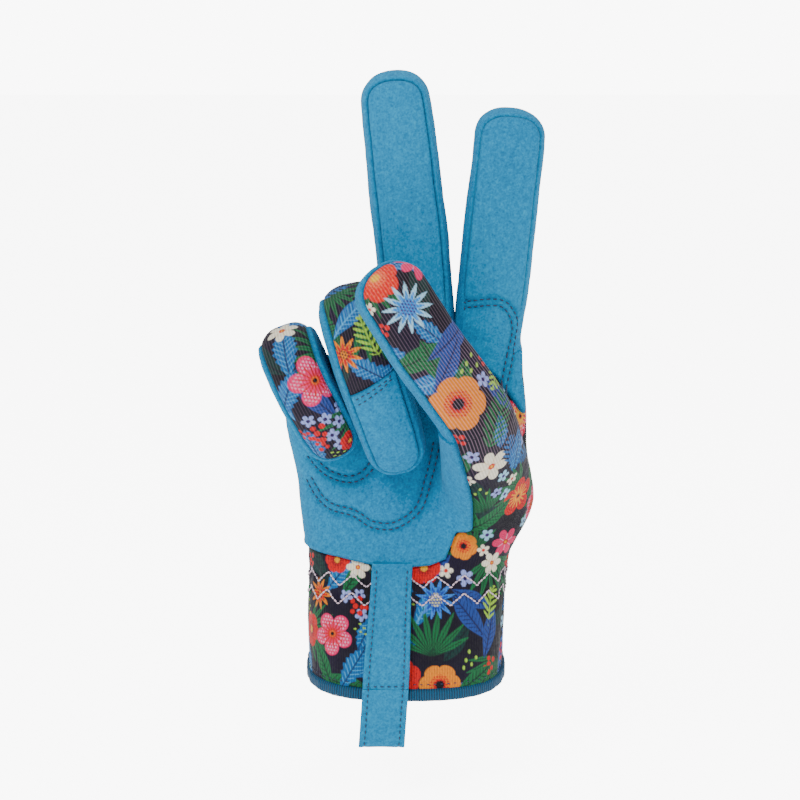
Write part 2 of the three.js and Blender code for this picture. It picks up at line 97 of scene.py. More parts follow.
def ripple(p: Array, scale: float, seed: int) -> Array:
    """Smooth seeded unevenness between about -1 and 1.

    Args:
        p: points, mm.
        scale: typical size of a bump, mm.
        seed: seed of the wave directions.
    Returns:
        One number per point.
    """
    rng = np.random.default_rng(seed)
    total = np.zeros(len(p))
    for _ in range(7):
        wave = unit(rng.normal(size=3)) * (2 * math.pi / scale) * rng.uniform(0.6, 1.6)
        total += np.sin(p @ wave + rng.uniform(0, 6.28))
    return total / 4.5


def linear(hex_colour: str) -> tuple[float, float, float, float]:
    """An sRGB hex colour as linear RGBA."""
    parts = [int(hex_colour[i : i + 2], 16) / 255 for i in (1, 3, 5)]
    parts = [c / 12.92 if c <= 0.04045 else ((c + 0.055) / 1.055) ** 2.4 for c in parts]
    return (*parts, 1.0)


def dyed(hex_colour: str, depth: float = 0.74, richness: float = 1.6) -> tuple[float, float, float, float]:
    """A dye's linear RGBA, deepened so that it reads at full strength in bright studio light."""
    return (*(depth * c**richness for c in linear(hex_colour)[:3]), 1.0)


def spline(points: Array, step: float) -> Array:
    """A smooth curve through points, resampled evenly.

    Args:
        points: (n, d) control points.
        step: spacing of the result.
    Returns:
        (m, d) points.
    """
    p = np.vstack([2 * points[0] - points[1], points, 2 * points[-1] - points[-2]])
    fine = []
    for i in range(1, len(p) - 2):
        a, b, c, d = p[i - 1 : i + 3]
        for t in np.linspace(0, 1, 24, endpoint=False):
            fine.append(0.5 * (2 * b + (c - a) * t + (2 * a - 5 * b + 4 * c - d) * t**2 + (3 * b - a - 3 * c + d) * t**3))
    fine = np.array(fine + [points[-1]])
    run = np.r_[0, np.cumsum(np.linalg.norm(np.diff(fine, axis=0), axis=1))]
    at = np.linspace(0, run[-1], max(2, round(run[-1] / step) + 1))
    return np.stack([np.interp(at, run, fine[:, i]) for i in range(fine.shape[1])], 1)


# ---------------------------------------------------------------- the hand's form
@dataclass
class Place:
    """Where points lie in a limb: along it, across it and through it, with its half sizes there."""

    s: Array
    x: Array
    y: Array
    facing: Array  # share of the section's outward direction that points to the limb's back
    distance: Array


@dataclass
class Limb:
    """A finger or thumb: rounded sections along a bent centre line, domed at the tip."""

    centre: Array
    back: Array
    half: Array
    step: float = 3.4
    dome: float = 10.5
    power: float = 2.5

    def __post_init__(self) -> None:
        """Resamples and eases the centre line."""
        rows = np.hstack([self.centre, self.back, self.half]).astype(float)
        run = np.r_[0, np.cumsum(np.linalg.norm(np.diff(rows[:, :3], axis=0), axis=1))]
        self.marks = run
        at = np.linspace(0, run[-1], max(3, round(run[-1] / self.step) + 1))
        rows = np.stack([np.interp(at, run, rows[:, i]) for i in range(8)], 1)
        for _ in range(2):
            rows[1:-1] = rows[1:-1] / 2 + (rows[:-2] + rows[2:]) / 4
        self.line, self.sizes = rows[:, :3], rows[:, 6:]
        self.tangent = unit(np.gradient(self.line, axis=0))
        self.back = unit(rows[:, 3:6] - (rows[:, 3:6] * self.tangent).sum(1, keepdims=True) * self.tangent)
        self.right = np.cross(self.back, self.tangent)
        self.at = np.r_[0, np.cumsum(np.linalg.norm(np.diff(self.line, axis=0), axis=1))]
        self.length = float(self.at[-1])
        self.marks = self.marks * self.length / self.marks[-1]
        reach = self.sizes.max() + 14
        self.low, self.high = self.line.min(0) - reach, self.line.max(0) + reach

    def place(self, p: Array) -> Place:
        """Finds each point's place in the limb.

        Args:
            p: (n, 3) points, mm.
        Returns:
            Their places; points out of reach get a large distance.
        """
        n = len(p)
        out = Place(*(np.zeros(n) for _ in range(4)), np.full(n, FAR))
        near = np.nonzero(((p > self.low) & (p < self.high)).all(1))[0]
        if not len(near):
            return out
        q = p[near]
        best, seg, share = np.full(len(q), 1e12), np.zeros(len(q), int), np.zeros(len(q))
        for i in range(len(self.line) - 1):
            edge = self.line[i + 1] - self.line[i]
            rel = q - self.line[i]
            along = rel @ edge
            t = np.clip(along / (edge @ edge), 0, 1)
            d2 = (rel * rel).sum(1) - 2 * t * along + t * t * (edge @ edge)
            better = d2 < best
            best, seg, share = np.where(better, d2, best), np.where(better, i, seg), np.where(better, t, share)
        w = share[:, None]

        def mixed(rows: Array) -> Array:
            """Rows blended between a segment's two ends."""
            return rows[seg] * (1 - w) + rows[seg + 1] * w

        rel = q - mixed(self.line)
        x, y = (rel * mixed(self.right)).sum(1), (rel * mixed(self.back)).sum(1)
        over = np.where((seg == len(self.line) - 2) & (share >= 1), (rel @ self.tangent[-1]).clip(0), 0)
        under = np.where((seg == 0) & (share <= 0), (rel @ self.tangent[0]).clip(None, 0), 0)
        s = self.at[seg] * (1 - share) + self.at[seg + 1] * share + over + under
        a, b = mixed(self.sizes).T
        t = np.maximum((s - (self.length - self.dome)) / self.dome, -s / 10).clip(0)
        u, v, k, c = np.abs(x) / a + 1e-4, np.abs(y) / b + 1e-4, self.power, 2.2
        r = (u**k + v**k) ** (1 / k)
        full = (r**c + t**c) ** (1 / c)
        gu, gv = (u / r) ** (k - 1) / a, (v / r) ** (k - 1) / b
        outer = (r / full) ** (c - 1)
        slope = np.sqrt((outer * gu) ** 2 + (outer * gv) ** 2 + ((t / full) ** (c - 1) / self.dome) ** 2)
        out.s[near], out.x[near], out.y[near] = s, x / a, y / b
        out.facing[near] = outer * gv * np.sign(y) / slope
        out.distance[near] = (full - 1) / slope
        return out


@dataclass
class Trunk:
    """Palm and cuff: superellipse sections stacked up the hand."""

    rows: Array = field(
        default_factory=lambda: np.array(
            [  # height, middle x, middle y, half width, half depth, slope along x, tilt along y
                [-8, -1.7, 0, 37.6, 31, 0, 0.12],
                [0, -1.7, 0, 37.6, 31, 0, 0.12],
                [6, -1.7, 0, 37.6, 31, 0, 0.096],
                [18.4, -1.7, 0, 37.8, 30, 0, 0.06],
                [32.2, -1.2, 0, 38, 26.35, 0, 0],
                [46, -0.5, 0, 38.5, 24, 0, 0],
                [59.8, 1, 0, 41.5, 21.5, 0, 0],
                [79.6, 1, 0, 43.5, 19, 0.04, 0],
                [100.2, -1, 1, 45.5, 16.5, 0.1, 0],
                [120, -3, 2.5, 45, 12.8, 0.16, 0],
                [134, -3, 2.5, 43, 10.5, 0.16, 0],
            ]
        )
    )
    power: float = 2.7
    top: float = 119.0
    dome: float = 9.0

    def __post_init__(self) -> None:
        """Eases the sections into one another."""
        self.height = np.arange(self.rows[0, 0], self.rows[-1, 0] + 0.5)
        table = np.stack([np.interp(self.height, self.rows[:, 0], self.rows[:, i]) for i in range(1, 7)], 1)
        window = np.hanning(13)[1:-1]
        padded = np.pad(table, ((5, 5), (0, 0)), mode="edge")
        self.table = np.stack([np.convolve(padded[:, i], window / window.sum(), "valid") for i in range(6)], 1)

    def sizes(self, height: Array) -> Array:
        """Section sizes at heights, one row each."""
        return np.stack([np.interp(height, self.height, self.table[:, i]) for i in range(6)], -1)

    def level(self, p: Array) -> Array:
        """Height of the section that each point lies on."""
        h = p[:, 2].copy()
        for _ in range(3):
            row = self.sizes(h)
            h = p[:, 2] - row[:, 4] * p[:, 0] - row[:, 5] * p[:, 1]
        return h

    def place(self, p: Array) -> Place:
        """Finds each point's place in the trunk; s is its height, facing points to the back of the hand."""
        h = self.level(p)
        cx, cy, a, b, _, _ = self.sizes(h).T
        x, y = (p[:, 0] - cx) / a, (p[:, 1] - cy) / b
        u, v, k = np.abs(x) + 1e-4, np.abs(y) + 1e-4, self.power
        t = ((h - self.top) / self.dome).clip(0)
        r = (u**k + v**k) ** (1 / k)
        full = np.sqrt(r * r + t * t)
        slope = np.sqrt((r / full) ** 2 * (((u / r) ** (k - 1) / a) ** 2 + ((v / r) ** (k - 1) / b) ** 2) + (t / full / self.dome) ** 2)
        return Place(h, x, y, (v / r) ** (k - 1) / b * np.sign(y) / slope, (full - 1) / slope)

    def ring(self, height: float, out: float, count: int) -> Array:
        """Points round the trunk at one height.

        Args:
            height: section height, mm.
            out: distance outside the section, mm.
            count: number of points.
        Returns:
            (count, 3) points, counter-clockwise from above.
        """
        cx, cy, a, b, slope, tilt = self.sizes(np.array([height]))[0]
        angle = np.linspace(0, 2 * math.pi, count, endpoint=False)
        c, s = np.cos(angle), np.sin(angle)
        x = cx + (a + out) * np.sign(c) * np.abs(c) ** (2 / self.power)
        y = cy + (b + out) * np.sign(s) * np.abs(s) ** (2 / self.power)
        return np.stack([x, y, height + slope * x + tilt * y], 1)


def curled(knuckle: Array, turn: Array, radius: float, tip: Array, lean: Array, wide: float, thick: float, root: float, end: float) -> Limb:
    """A finger bent over the palm.

    Args:
        knuckle: start on the knuckle line. turn: middle of the bend. radius: of the bend.
        tip: fingertip. lean: unit vector down the finger. wide, thick, root, end: half sizes.
    Returns:
        The limb.
    """
    centre, back = [knuckle], [vec(0, 1, 0)]
    for angle in np.radians(np.arange(37, 196, 12.15)):
        spoke = vec(0, math.cos(angle), 0) - unit(lean) * math.sin(angle)
        centre.append(turn + spoke * radius)
        back.append(spoke)
    centre.append(centre[-1] + (tip - centre[-1]) * 0.65)
    back.append(back[-1])
    centre.append(tip)
    back.append(back[-1])
    n = len(centre)
    half = [[root, thick]] + [[wide, thick]] * (n - 3) + [[(wide + end) / 2 + 0.4, thick]] + [[end, thick * 0.93]]
    return Limb(np.array(centre), np.array(back), np.array(half))


class Digit(Enum):
    """The five digits, thumb first."""

    THUMB = "thumb"
    INDEX = "index"
    MIDDLE = "middle"
    RING = "ring"
    PINKY = "pinky"


class HandForm:
    """The whole hand as distance fields, from which every cloth panel is cut."""

    def __init__(self) -> None:
        """Sets up trunk and limbs in the frame's place."""
        up = vec(0, 1, 0)
        self.trunk = Trunk()
        self.limbs: dict[Digit, Limb] = {
            Digit.INDEX: Limb(
                np.array([[29.1, 3, 124.66], [31.5, 2.5, 149], [33.3, 2, 166.96], [36.9, 1, 201], [38.3, 0.5, 218.8]]),
                np.tile(up, (5, 1)), np.array([[11.6, 10.9], [13.5, 10.8], [13.4, 10.6], [13.2, 10.4], [12.8, 10]])),
            Digit.MIDDLE: Limb(
                np.array([[5.1, 3, 120.82], [2.3, 3, 149], [0.1, 3, 171], [-5, 2.3, 215], [-6.7, 2, 232.6]]),
                np.tile(up, (5, 1)), np.array([[11.6, 11], [13.7, 10.9], [13.9, 10.9], [13.4, 10.7], [12.4, 10.2]])),
            Digit.RING: curled(vec(-18, 1, 117.12), vec(-18, -27, 134.02), 12, vec(-2.7, -26.2, 85.3), vec(0.27, 0, -0.963), 12.5,
                10.4, 11, 10.2),
            Digit.PINKY: curled(vec(-38.4, 1, 113.86), vec(-41, -24, 120.46), 11, vec(-26.3, -22.6, 91), vec(0.375, 0, -0.927), 10.9,
                9.4, 9.3, 9.3),
            Digit.THUMB: Limb(
                np.array([[30, -4, 66], [28.5, -22, 84], [26, -37, 99], [24, -46, 109], [4.5, -53, 136.5], [-7.5, -52.6, 155.5],
                    [-12.5, -52, 164.5]]),
                np.array([[0.62, -0.75, -0.1], [0.55, -0.8, 0], [0.4, -0.9, 0.05]] + [[0.3, -1, 0.1]] * 4),
                np.array([[18, 13], [16.5, 12.5], [14.6, 11.5], [13.6, 10.2], [13.5, 9.9], [13.2, 9.8], [12.4, 9.4]])),
        }
        self.thumb_joint = float(self.limbs[Digit.THUMB].marks[3])
        self.turn_end = {d: float(self.limbs[d].marks[7]) for d in (Digit.RING, Digit.PINKY)}

    def rim(self, p: Array) -> Array:
        """Height above the knuckle line."""
        return p[:, 2] - (120 + 0.16 * p[:, 0])

    def joined(self, p: Array, places: dict[Digit, Place]) -> Array:
        """Distance to the whole hand with the digits growing out of the palm.

        Args:
            p: points, mm. places: their places in each limb.
        Returns:
            Distances, negative inside.
        """
        total = self.trunk.place(p).distance
        index, middle = places[Digit.INDEX], places[Digit.MIDDLE]
        pair = soft_min(index.distance, middle.distance, 3.2 * (1 - ramp(46, 60, index.s)))
        total = soft_min(total, pair, 5 * (1 - ramp(10, 24, np.minimum(index.s, middle.s))))
        for digit in (Digit.RING, Digit.PINKY):
            place = places[digit]
            rising = np.where(place.s > self.turn_end[digit], FAR, place.distance)
            total = soft_min(total, rising, 5 * (1 - ramp(6, 16, place.s)))
        thumb = places[Digit.THUMB]
        return soft_min(total, thumb.distance, 9 * (1 - ramp(self.thumb_joint - 12, self.thumb_joint + 2, thumb.s)))

    def places(self, p: Array) -> dict[Digit, Place]:
        """Each point's place in every limb."""
        return {digit: limb.place(p) for digit, limb in self.limbs.items()}

    def hand_field(self, p: Array) -> Array:
        """Distance to the palm and cuff, with the roots of the digits."""
        return self.joined(p, self.places(p))

    def digit_field(self, digit: Digit) -> Callable[[Array], Array]:
        """Field of one digit, kept apart from its neighbours by thin walls."""

        def measure(p: Array) -> Array:
            """Distance to the digit."""
            places = self.places(p)
            own = places[digit]
            value = own.distance
            if digit is not Digit.THUMB:
                whole = self.joined(p, places | {Digit.THUMB: Place(*(np.zeros(len(p)),) * 4, np.full(len(p), FAR))})
                value = whole if digit not in self.turn_end else np.where(own.s > self.turn_end[digit], value, whole)
            for other, place in places.items():
                if other is not digit:
                    gap = 0.25 if {digit, other} == {Digit.INDEX, Digit.MIDDLE} else 0.8
                    value = np.maximum(value, (own.distance - place.distance + gap) / 2)
            return value

        return measure


# ---------------------------------------------------------------- cloth meshes
@dataclass
class Cloth:
    """A triangle mesh with named numbers at its vertices; the first three columns are x, y, z in mm."""

    data: Array
    tris: Array
    names: list[str] = field(default_factory=lambda: ["x", "y", "z"])

    @property
    def points(self) -> Array:
        """Vertex positions."""
        return self.data[:, :3]

    def column(self, name: str) -> Array:
        """The numbers stored under a name."""
        return self.data[:, self.names.index(name)]

    def add(self, name: str, values: Array) -> None:
        """Stores one number per vertex."""
        self.data, self.names = np.column_stack([self.data, values]), self.names + [name]

    def normals(self) -> Array:
        """Area-weighted vertex normals."""
        p, t = self.points, self.tris
        face = np.cross(p[t[:, 1]] - p[t[:, 0]], p[t[:, 2]] - p[t[:, 0]])
        out = np.stack([sum(np.bincount(t[:, k], face[:, i], len(p)) for k in range(3)) for i in range(3)], 1)
        return unit(out)

    def keep(self, mask: Array) -> "Cloth":
        """The triangles under mask, with unused vertices dropped."""
        tris = self.tris[mask]
        used, index = np.unique(tris, return_inverse=True)
        return Cloth(self.data[used], index.reshape(-1, 3), list(self.names))

    def halves(self, level: Array, seam: bool) -> tuple["Cloth", "Cloth"]:
        """Cuts the mesh along the zero line of a level.

        Args:
            level: one number per vertex.
            seam: whether the cut is a sewn seam.
        Returns:
            The part where the level is below zero, and the rest.
        """
        level = np.where(np.abs(level) < 1e-5, 1e-5, level)
        low = level < 0
        count = low[self.tris].sum(1)
        crossing = self.tris[(count == 1) | (count == 2)]
        one_low = low[crossing].sum(1) == 1
        odd = np.where(one_low[:, None], low[crossing], ~low[crossing]).argmax(1)
        rolled = crossing[np.arange(len(crossing))[:, None], (odd[:, None] + np.arange(3)) % 3]
        a, b, c = rolled.T
        edges = np.sort(np.vstack([np.stack([a, b], 1), np.stack([a, c], 1)]), 1)
        unique, inverse = np.unique(edges, axis=0, return_inverse=True)
        la, lb = level[unique[:, 0]], level[unique[:, 1]]
        t = np.clip(la / (la - lb), 0.02, 0.98)[:, None]
        fresh = self.data[unique[:, 0]] * (1 - t) + self.data[unique[:, 1]] * t
        if "seam" in self.names:
            at = self.names.index("seam")
            both = (self.data[unique[:, 0], at] > 0.5) & (self.data[unique[:, 1], at] > 0.5)
            fresh[:, at] = 1.0 if seam else both
        data = np.vstack([self.data, fresh])
        inverse = inverse.reshape(-1)
        ab, ac = inverse[: len(a)] + len(self.data), inverse[len(a) :] + len(self.data)
        tip = np.stack([a, ab, ac], 1)
        base = np.vstack([np.stack([ab, b, c], 1), np.stack([ab, c, ac], 1)])
        twice = np.r_[one_low, one_low]
        parts = []
        for side, whole in ((True, count == 3), (False, count == 0)):
            pick, rest = (one_low, ~twice) if side else (~one_low, twice)
            tris = np.vstack([self.tris[whole], tip[pick], base[rest]])
            parts.append(Cloth(data, tris, list(self.names)).keep(np.ones(len(tris), bool)))
        return parts[0], parts[1]

    def rim_edges(self) -> Array:
        """Directed edges that only one triangle has."""
        e = np.vstack([self.tris[:, [0, 1]], self.tris[:, [1, 2]], self.tris[:, [2, 0]]])
        key = np.sort(e, 1) @ np.array([len(self.data) + 1, 1])
        _, first, count = np.unique(key, return_index=True, return_counts=True)
        return e[first[count == 1]]

    def refined(self) -> tuple["Cloth", dict]:
        """Splits each triangle in four, rounding the surface a little.

        Returns:
            The finer mesh, and a dict from an edge's sorted ends to its new vertex.
        """
        e = np.sort(np.vstack([self.tris[:, [0, 1]], self.tris[:, [1, 2]], self.tris[:, [2, 0]]]), 1)
        unique, inverse = np.unique(e, axis=0, return_inverse=True)
        inverse = inverse.reshape(-1)
        n, m = len(self.data), len(self.tris)
        middle = (self.data[unique[:, 0]] + self.data[unique[:, 1]]) / 2
        nrm = self.normals()
        for end in (0, 1):
            normal, base = nrm[unique[:, end]], self.points[unique[:, end]]
            off = ((base - middle[:, :3]) * normal).sum(1, keepdims=True)
            middle[:, :3] += 0.4 * off * normal * (np.abs(off) < 0.15)
        if "seam" in self.names:
            at = self.names.index("seam")
            middle[:, at] = middle[:, at] > 0.99
        ab, bc, ca = (inverse[k * m : (k + 1) * m] + n for k in range(3))
        a, b, c = self.tris.T
        tris = np.vstack([np.stack(t, 1) for t in ((a, ab, ca), (ab, b, bc), (ca, bc, c), (ab, bc, ca))])
        table = {"edges": unique, "n": n}
        return Cloth(np.vstack([self.data, middle]), tris, list(self.names)), table


def surface_net(measure: Callable[[Array], Array], low: Array, high: Array, step: float) -> Cloth:
    """Meshes the zero surface of a field.

    Args:
        measure: field, negative inside.
        low, high: corners of the box to search, mm.
        step: pitch, mm.
    Returns:
        A closed mesh, except where the box cuts it.
    """
    block = 6
    count = (np.ceil((high - low) / (step * block)).astype(int)) * block + 1
    axes = [low[i] + step * np.arange(count[i]) for i in range(3)]
    coarse = np.stack(np.meshgrid(*[a[::block] for a in axes], indexing="ij"), -1)
    shape = coarse.shape[:3]
    rough = measure(coarse.reshape(-1, 3)).reshape(shape)
    reach = step * block * 1.5
    near = np.abs(rough) < reach
    cells = np.zeros(tuple(s - 1 for s in shape), bool)
    for i in (0, 1):
        for j in (0, 1):
            for k in (0, 1):
                cells |= near[i : shape[0] - 1 + i, j : shape[1] - 1 + j, k : shape[2] - 1 + k]
    values = np.repeat(np.repeat(np.repeat(np.where(rough < 0, -FAR, FAR), block, 0), block, 1), block, 2)
    values = np.ascontiguousarray(values[: count[0], : count[1], : count[2]]).astype(np.float32)
    wanted = np.zeros(tuple(count), bool)
    for i, j, k in np.argwhere(cells) * block:
        wanted[i : i + block + 1, j : j + block + 1, k : k + block + 1] = True
    index = np.argwhere(wanted)
    for start in range(0, len(index), 400000):
        part = index[start : start + 400000]
        values[tuple(part.T)] = measure(low + part * step)
    inside = values < 0
    total = sum(
        inside[i : count[0] - 1 + i, j : count[1] - 1 + j, k : count[2] - 1 + k].astype(np.int8)
        for i in (0, 1) for j in (0, 1) for k in (0, 1))
    active = np.argwhere((total > 0) & (total < 8) & wanted[:-1, :-1, :-1])
    number = np.full(tuple(count - 1), -1, int)
    number[tuple(active.T)] = np.arange(len(active))
    sums, hits = np.zeros((len(active), 3)), np.zeros(len(active))
    corners = [(i, j, k) for i in (0, 1) for j in (0, 1) for k in (0, 1)]
    for c in corners:
        for axis in range(3):
            if c[axis]:
                continue
            d = tuple(v + (n == axis) for n, v in enumerate(c))
            va, vb = values[tuple((active + c).T)], values[tuple((active + d).T)]
            cross = (va < 0) != (vb < 0)
            t = np.where(cross, va / np.where(cross, va - vb, 1), 0)
            where = np.tile(np.array(c, float), (len(active), 1))
            where[:, axis] += t
            sums += where * cross[:, None]
            hits += cross
    points = low + (active + sums / np.maximum(hits, 1)[:, None]) * step
    quads = []
    for axis in range(3):
        u, v = (axis + 1) % 3, (axis + 2) % 3
        ahead = [slice(None)] * 3
        ahead[axis] = slice(1, None)
        behind = [slice(None)] * 3
        behind[axis] = slice(None, -1)
        here, there = inside[tuple(behind)], inside[tuple(ahead)]
        for flip, mask in ((False, here & ~there), (True, ~here & there)):
            at = np.argwhere(mask)
            at = at[(at[:, u] > 0) & (at[:, v] > 0) & (at[:, u] < count[u] - 1) & (at[:, v] < count[v] - 1)]
            around = []
            for du, dv in ((-1, -1), (0, -1), (0, 0), (-1, 0)):
                cell = at.copy()
                cell[:, u] += du
                cell[:, v] += dv
                around.append(number[tuple(cell.T)])
            quad = np.stack(around, 1)
            quads.append(quad[:, ::-1] if flip else quad)
    quad = np.vstack(quads)
    quad = quad[(quad >= 0).all(1)]
    cloth = Cloth(points, np.vstack([quad[:, [0, 1, 2]], quad[:, [0, 2, 3]]]))
    return cloth.keep(np.ones(len(cloth.tris), bool))


def cloth_of(measure: Callable[[Array], Array], low: Array, high: Array) -> Cloth:
    """Meshes a field and settles its vertices on the true surface."""
    cloth = surface_net(measure, low, high, SURFACE_STEP)
    for _ in range(3):
        p, t = cloth.points.copy(), cloth.tris
        sums, hits = np.zeros_like(p), np.zeros(len(p))
        for i, j in ((0, 1), (1, 2), (2, 0)):
            for u, v in ((i, j), (j, i)):
                sums += np.stack([np.bincount(t[:, u], p[t[:, v], k], len(p)) for k in range(3)], 1)
                hits += np.bincount(t[:, u], minlength=len(p))
        p = p * 0.5 + sums / np.maximum(hits, 1)[:, None] * 0.5
        cloth.data[:, :3] = p
        cloth.data[:, :3] -= cloth.normals() * np.clip(measure(p), -0.6, 0.6)[:, None]
    return cloth


# ---------------------------------------------------------------- the print
class Bloom(Enum):
    """Kinds of motif in the flowered print."""

    POPPY = "poppy"
    DAISY = "daisy"
    HIBISCUS = "hibiscus"
    BLOSSOM = "blossom"
    STARLET = "starlet"
    BERRIES = "berries"
    LEAF = "leaf"
    FERN = "fern"
    PALM_FAN = "palm_fan"
    SERRATED = "serrated"
    DOTS = "dots"


@dataclass(frozen=True)
class Inks:
    """Colours of one motif, as sRGB hex: main, inner or vein, and heart."""

    main: str
    inner: str
    heart: str


NAVY = "#1d1830"
YELLOW = Inks("#f5ab12", "#e2452a", "#2a1638")
CORAL = Inks("#f04a2c", "#ff9a6a", "#ffcf4a")
RED = Inks("#e62a2c", "#b51f3a", "#f9c33a")
PINK = Inks("#f54a92", "#fbd0e2", "#e23a2c")
ROSE = Inks("#ee2f74", "#ffd9e6", "#f9d24a")
SKY = Inks("#bfe6f8", "#4fb0ea", "#6b2f8f")
BLUE = Inks("#5fa6ea", "#2f6fc4", "#ece8b0")
CREAM = Inks("#fbf6e6", "#f4e0b8", "#e0483a")
LILAC = Inks("#b9c4f2", "#e9edff", "#4b2a7c")
GREEN = Inks("#2f9468", "#1c5f4d", "#55b98a")
DEEP = Inks("#23605c", "#1a3f4a", "#3a8a7a")
TEAL = Inks("#2f8fc4", "#74c4ea", "#1c5f8c")
DUSK = Inks("#4f74b8", "#35427c", "#8fb0e0")
LIME = Inks("#bfe06a", "#8fc04a", "#e4f4a0")


@dataclass(frozen=True)
class Motif:
    """One printed motif.

    x and z are millimetres seen from the palm side, radius its size and turn its angle in degrees.
    """

    kind: Bloom
    x: float
    z: float
    radius: float
    inks: Inks
    turn: float = 0.0


HERO_MOTIFS: tuple[Motif, ...] = (
    Motif(Bloom.LEAF, 1.4, 132.1, 12, GREEN, 60), Motif(Bloom.LEAF, -4, 124, 12, GREEN, 20), Motif(Bloom.LEAF, 8, 131, 10, GREEN, -30),
    Motif(Bloom.LEAF, 14.7, 139.8, 12, DUSK, 55), Motif(Bloom.LEAF, 13, 130, 11, DUSK, 25), Motif(Bloom.FERN, 31.6, 109.4, 11, GREEN, 15),
    Motif(Bloom.POPPY, -12.9, 161.5, 8.2, CORAL, 10), Motif(Bloom.DAISY, -1.1, 151.3, 9.6, SKY, 8),
        Motif(Bloom.POPPY, 16.9, 116, 10.5, YELLOW, 0),
    Motif(Bloom.DOTS, 21.5, 130, 4.5, LIME, 20), Motif(Bloom.BLOSSOM, 29.5, 90.3, 7.4, CREAM, 0),
        Motif(Bloom.HIBISCUS, 42, 102, 8, ROSE, 60),
    Motif(Bloom.FERN, 36.4, 96, 7, TEAL, -30), Motif(Bloom.HIBISCUS, 40.5, 74, 8.5, RED, 20),
        Motif(Bloom.STARLET, 37.7, 82.8, 2.8, CREAM, 0),
    Motif(Bloom.DOTS, 25.8, 78, 4, LIME, 0), Motif(Bloom.LEAF, 21, 68, 11, GREEN, -15), Motif(Bloom.LEAF, 30, 66, 11, GREEN, 40),
    Motif(Bloom.PALM_FAN, 26, 74, 8, GREEN, -30), Motif(Bloom.STARLET, 32, 78, 2.6, LILAC, 0),
        Motif(Bloom.POPPY, 20.2, 54.4, 5.4, YELLOW, 20),
    Motif(Bloom.BLOSSOM, 36, 55, 6, PINK, 0), Motif(Bloom.BLOSSOM, 31, 47, 4.5, CREAM, 0), Motif(Bloom.STARLET, 29, 59, 2.8, SKY, 0),
    Motif(Bloom.SERRATED, -46.3, 132, 11, TEAL, -20), Motif(Bloom.SERRATED, -45.6, 116, 10, TEAL, 20),
        Motif(Bloom.LEAF, -36, 137, 9, GREEN, -20),
    Motif(Bloom.HIBISCUS, -35.2, 121.9, 9.6, PINK, 10), Motif(Bloom.STARLET, -37.9, 106.2, 2.8, LILAC),
        Motif(Bloom.STARLET, -31.7, 106.8, 2.8, LILAC, 20),
    Motif(Bloom.STARLET, -26.6, 105.6, 2.7, LILAC), Motif(Bloom.STARLET, -29.2, 100.3, 2.8, LILAC, 30),
        Motif(Bloom.STARLET, -26.3, 96.6, 2.5, LILAC),
    Motif(Bloom.STARLET, -26.6, 111.4, 2.8, LILAC, 40), Motif(Bloom.BERRIES, -34.2, 101.5, 3.4, RED, 0),
        Motif(Bloom.POPPY, -22.6, 97.5, 4.2, RED, 0),
    Motif(Bloom.BLOSSOM, -47.6, 138, 6, CREAM, 0), Motif(Bloom.LEAF, -22, 146.3, 11, TEAL, 35), Motif(Bloom.FERN, -16, 139.4, 8, LIME, -25),
    Motif(Bloom.SERRATED, -16, 126.6, 9, TEAL, -60), Motif(Bloom.DAISY, -24.4, 132.1, 7, YELLOW, 10),
        Motif(Bloom.POPPY, -28, 48.5, 5.2, RED, 0),
    Motif(Bloom.LEAF, -22, 42, 8, GREEN, 30), Motif(Bloom.BLOSSOM, -20, 46.3, 4.6, CREAM, 0),
        Motif(Bloom.DAISY, -34.8, 34.5, 6.2, YELLOW, 0),
    Motif(Bloom.SERRATED, -22, 8, 10, TEAL, 30), Motif(Bloom.LEAF, -33, 8, 9, GREEN, -30), Motif(Bloom.HIBISCUS, -29.6, 20.5, 8.4, PINK, 0),
    Motif(Bloom.STARLET, -24.5, 35.2, 2.6, LILAC), Motif(Bloom.STARLET, -18.6, 28.5, 2.6, LILAC),
        Motif(Bloom.STARLET, -19.5, 36, 2.4, LILAC),
    Motif(Bloom.BERRIES, -20.4, 32, 3, RED, 0), Motif(Bloom.POPPY, 5.1, 46.4, 6.4, RED, 0), Motif(Bloom.PALM_FAN, 8, 22, 11, GREEN, 0),
    Motif(Bloom.DAISY, 9.6, 34.4, 8, BLUE, 0), Motif(Bloom.LEAF, 22.7, 27, 11, DUSK, -35), Motif(Bloom.LEAF, 30, 20, 10, DUSK, 20),
    Motif(Bloom.POPPY, 11.2, 2.2, 8, YELLOW, 0), Motif(Bloom.DOTS, 22.7, 11.3, 4, LIME, 0), Motif(Bloom.FERN, 30.6, 31.7, 6.5, LIME, 20),
    Motif(Bloom.BERRIES, 30, 8, 3, RED, 40), Motif(Bloom.LEAF, 24, 3, 9, GREEN, 60),
)


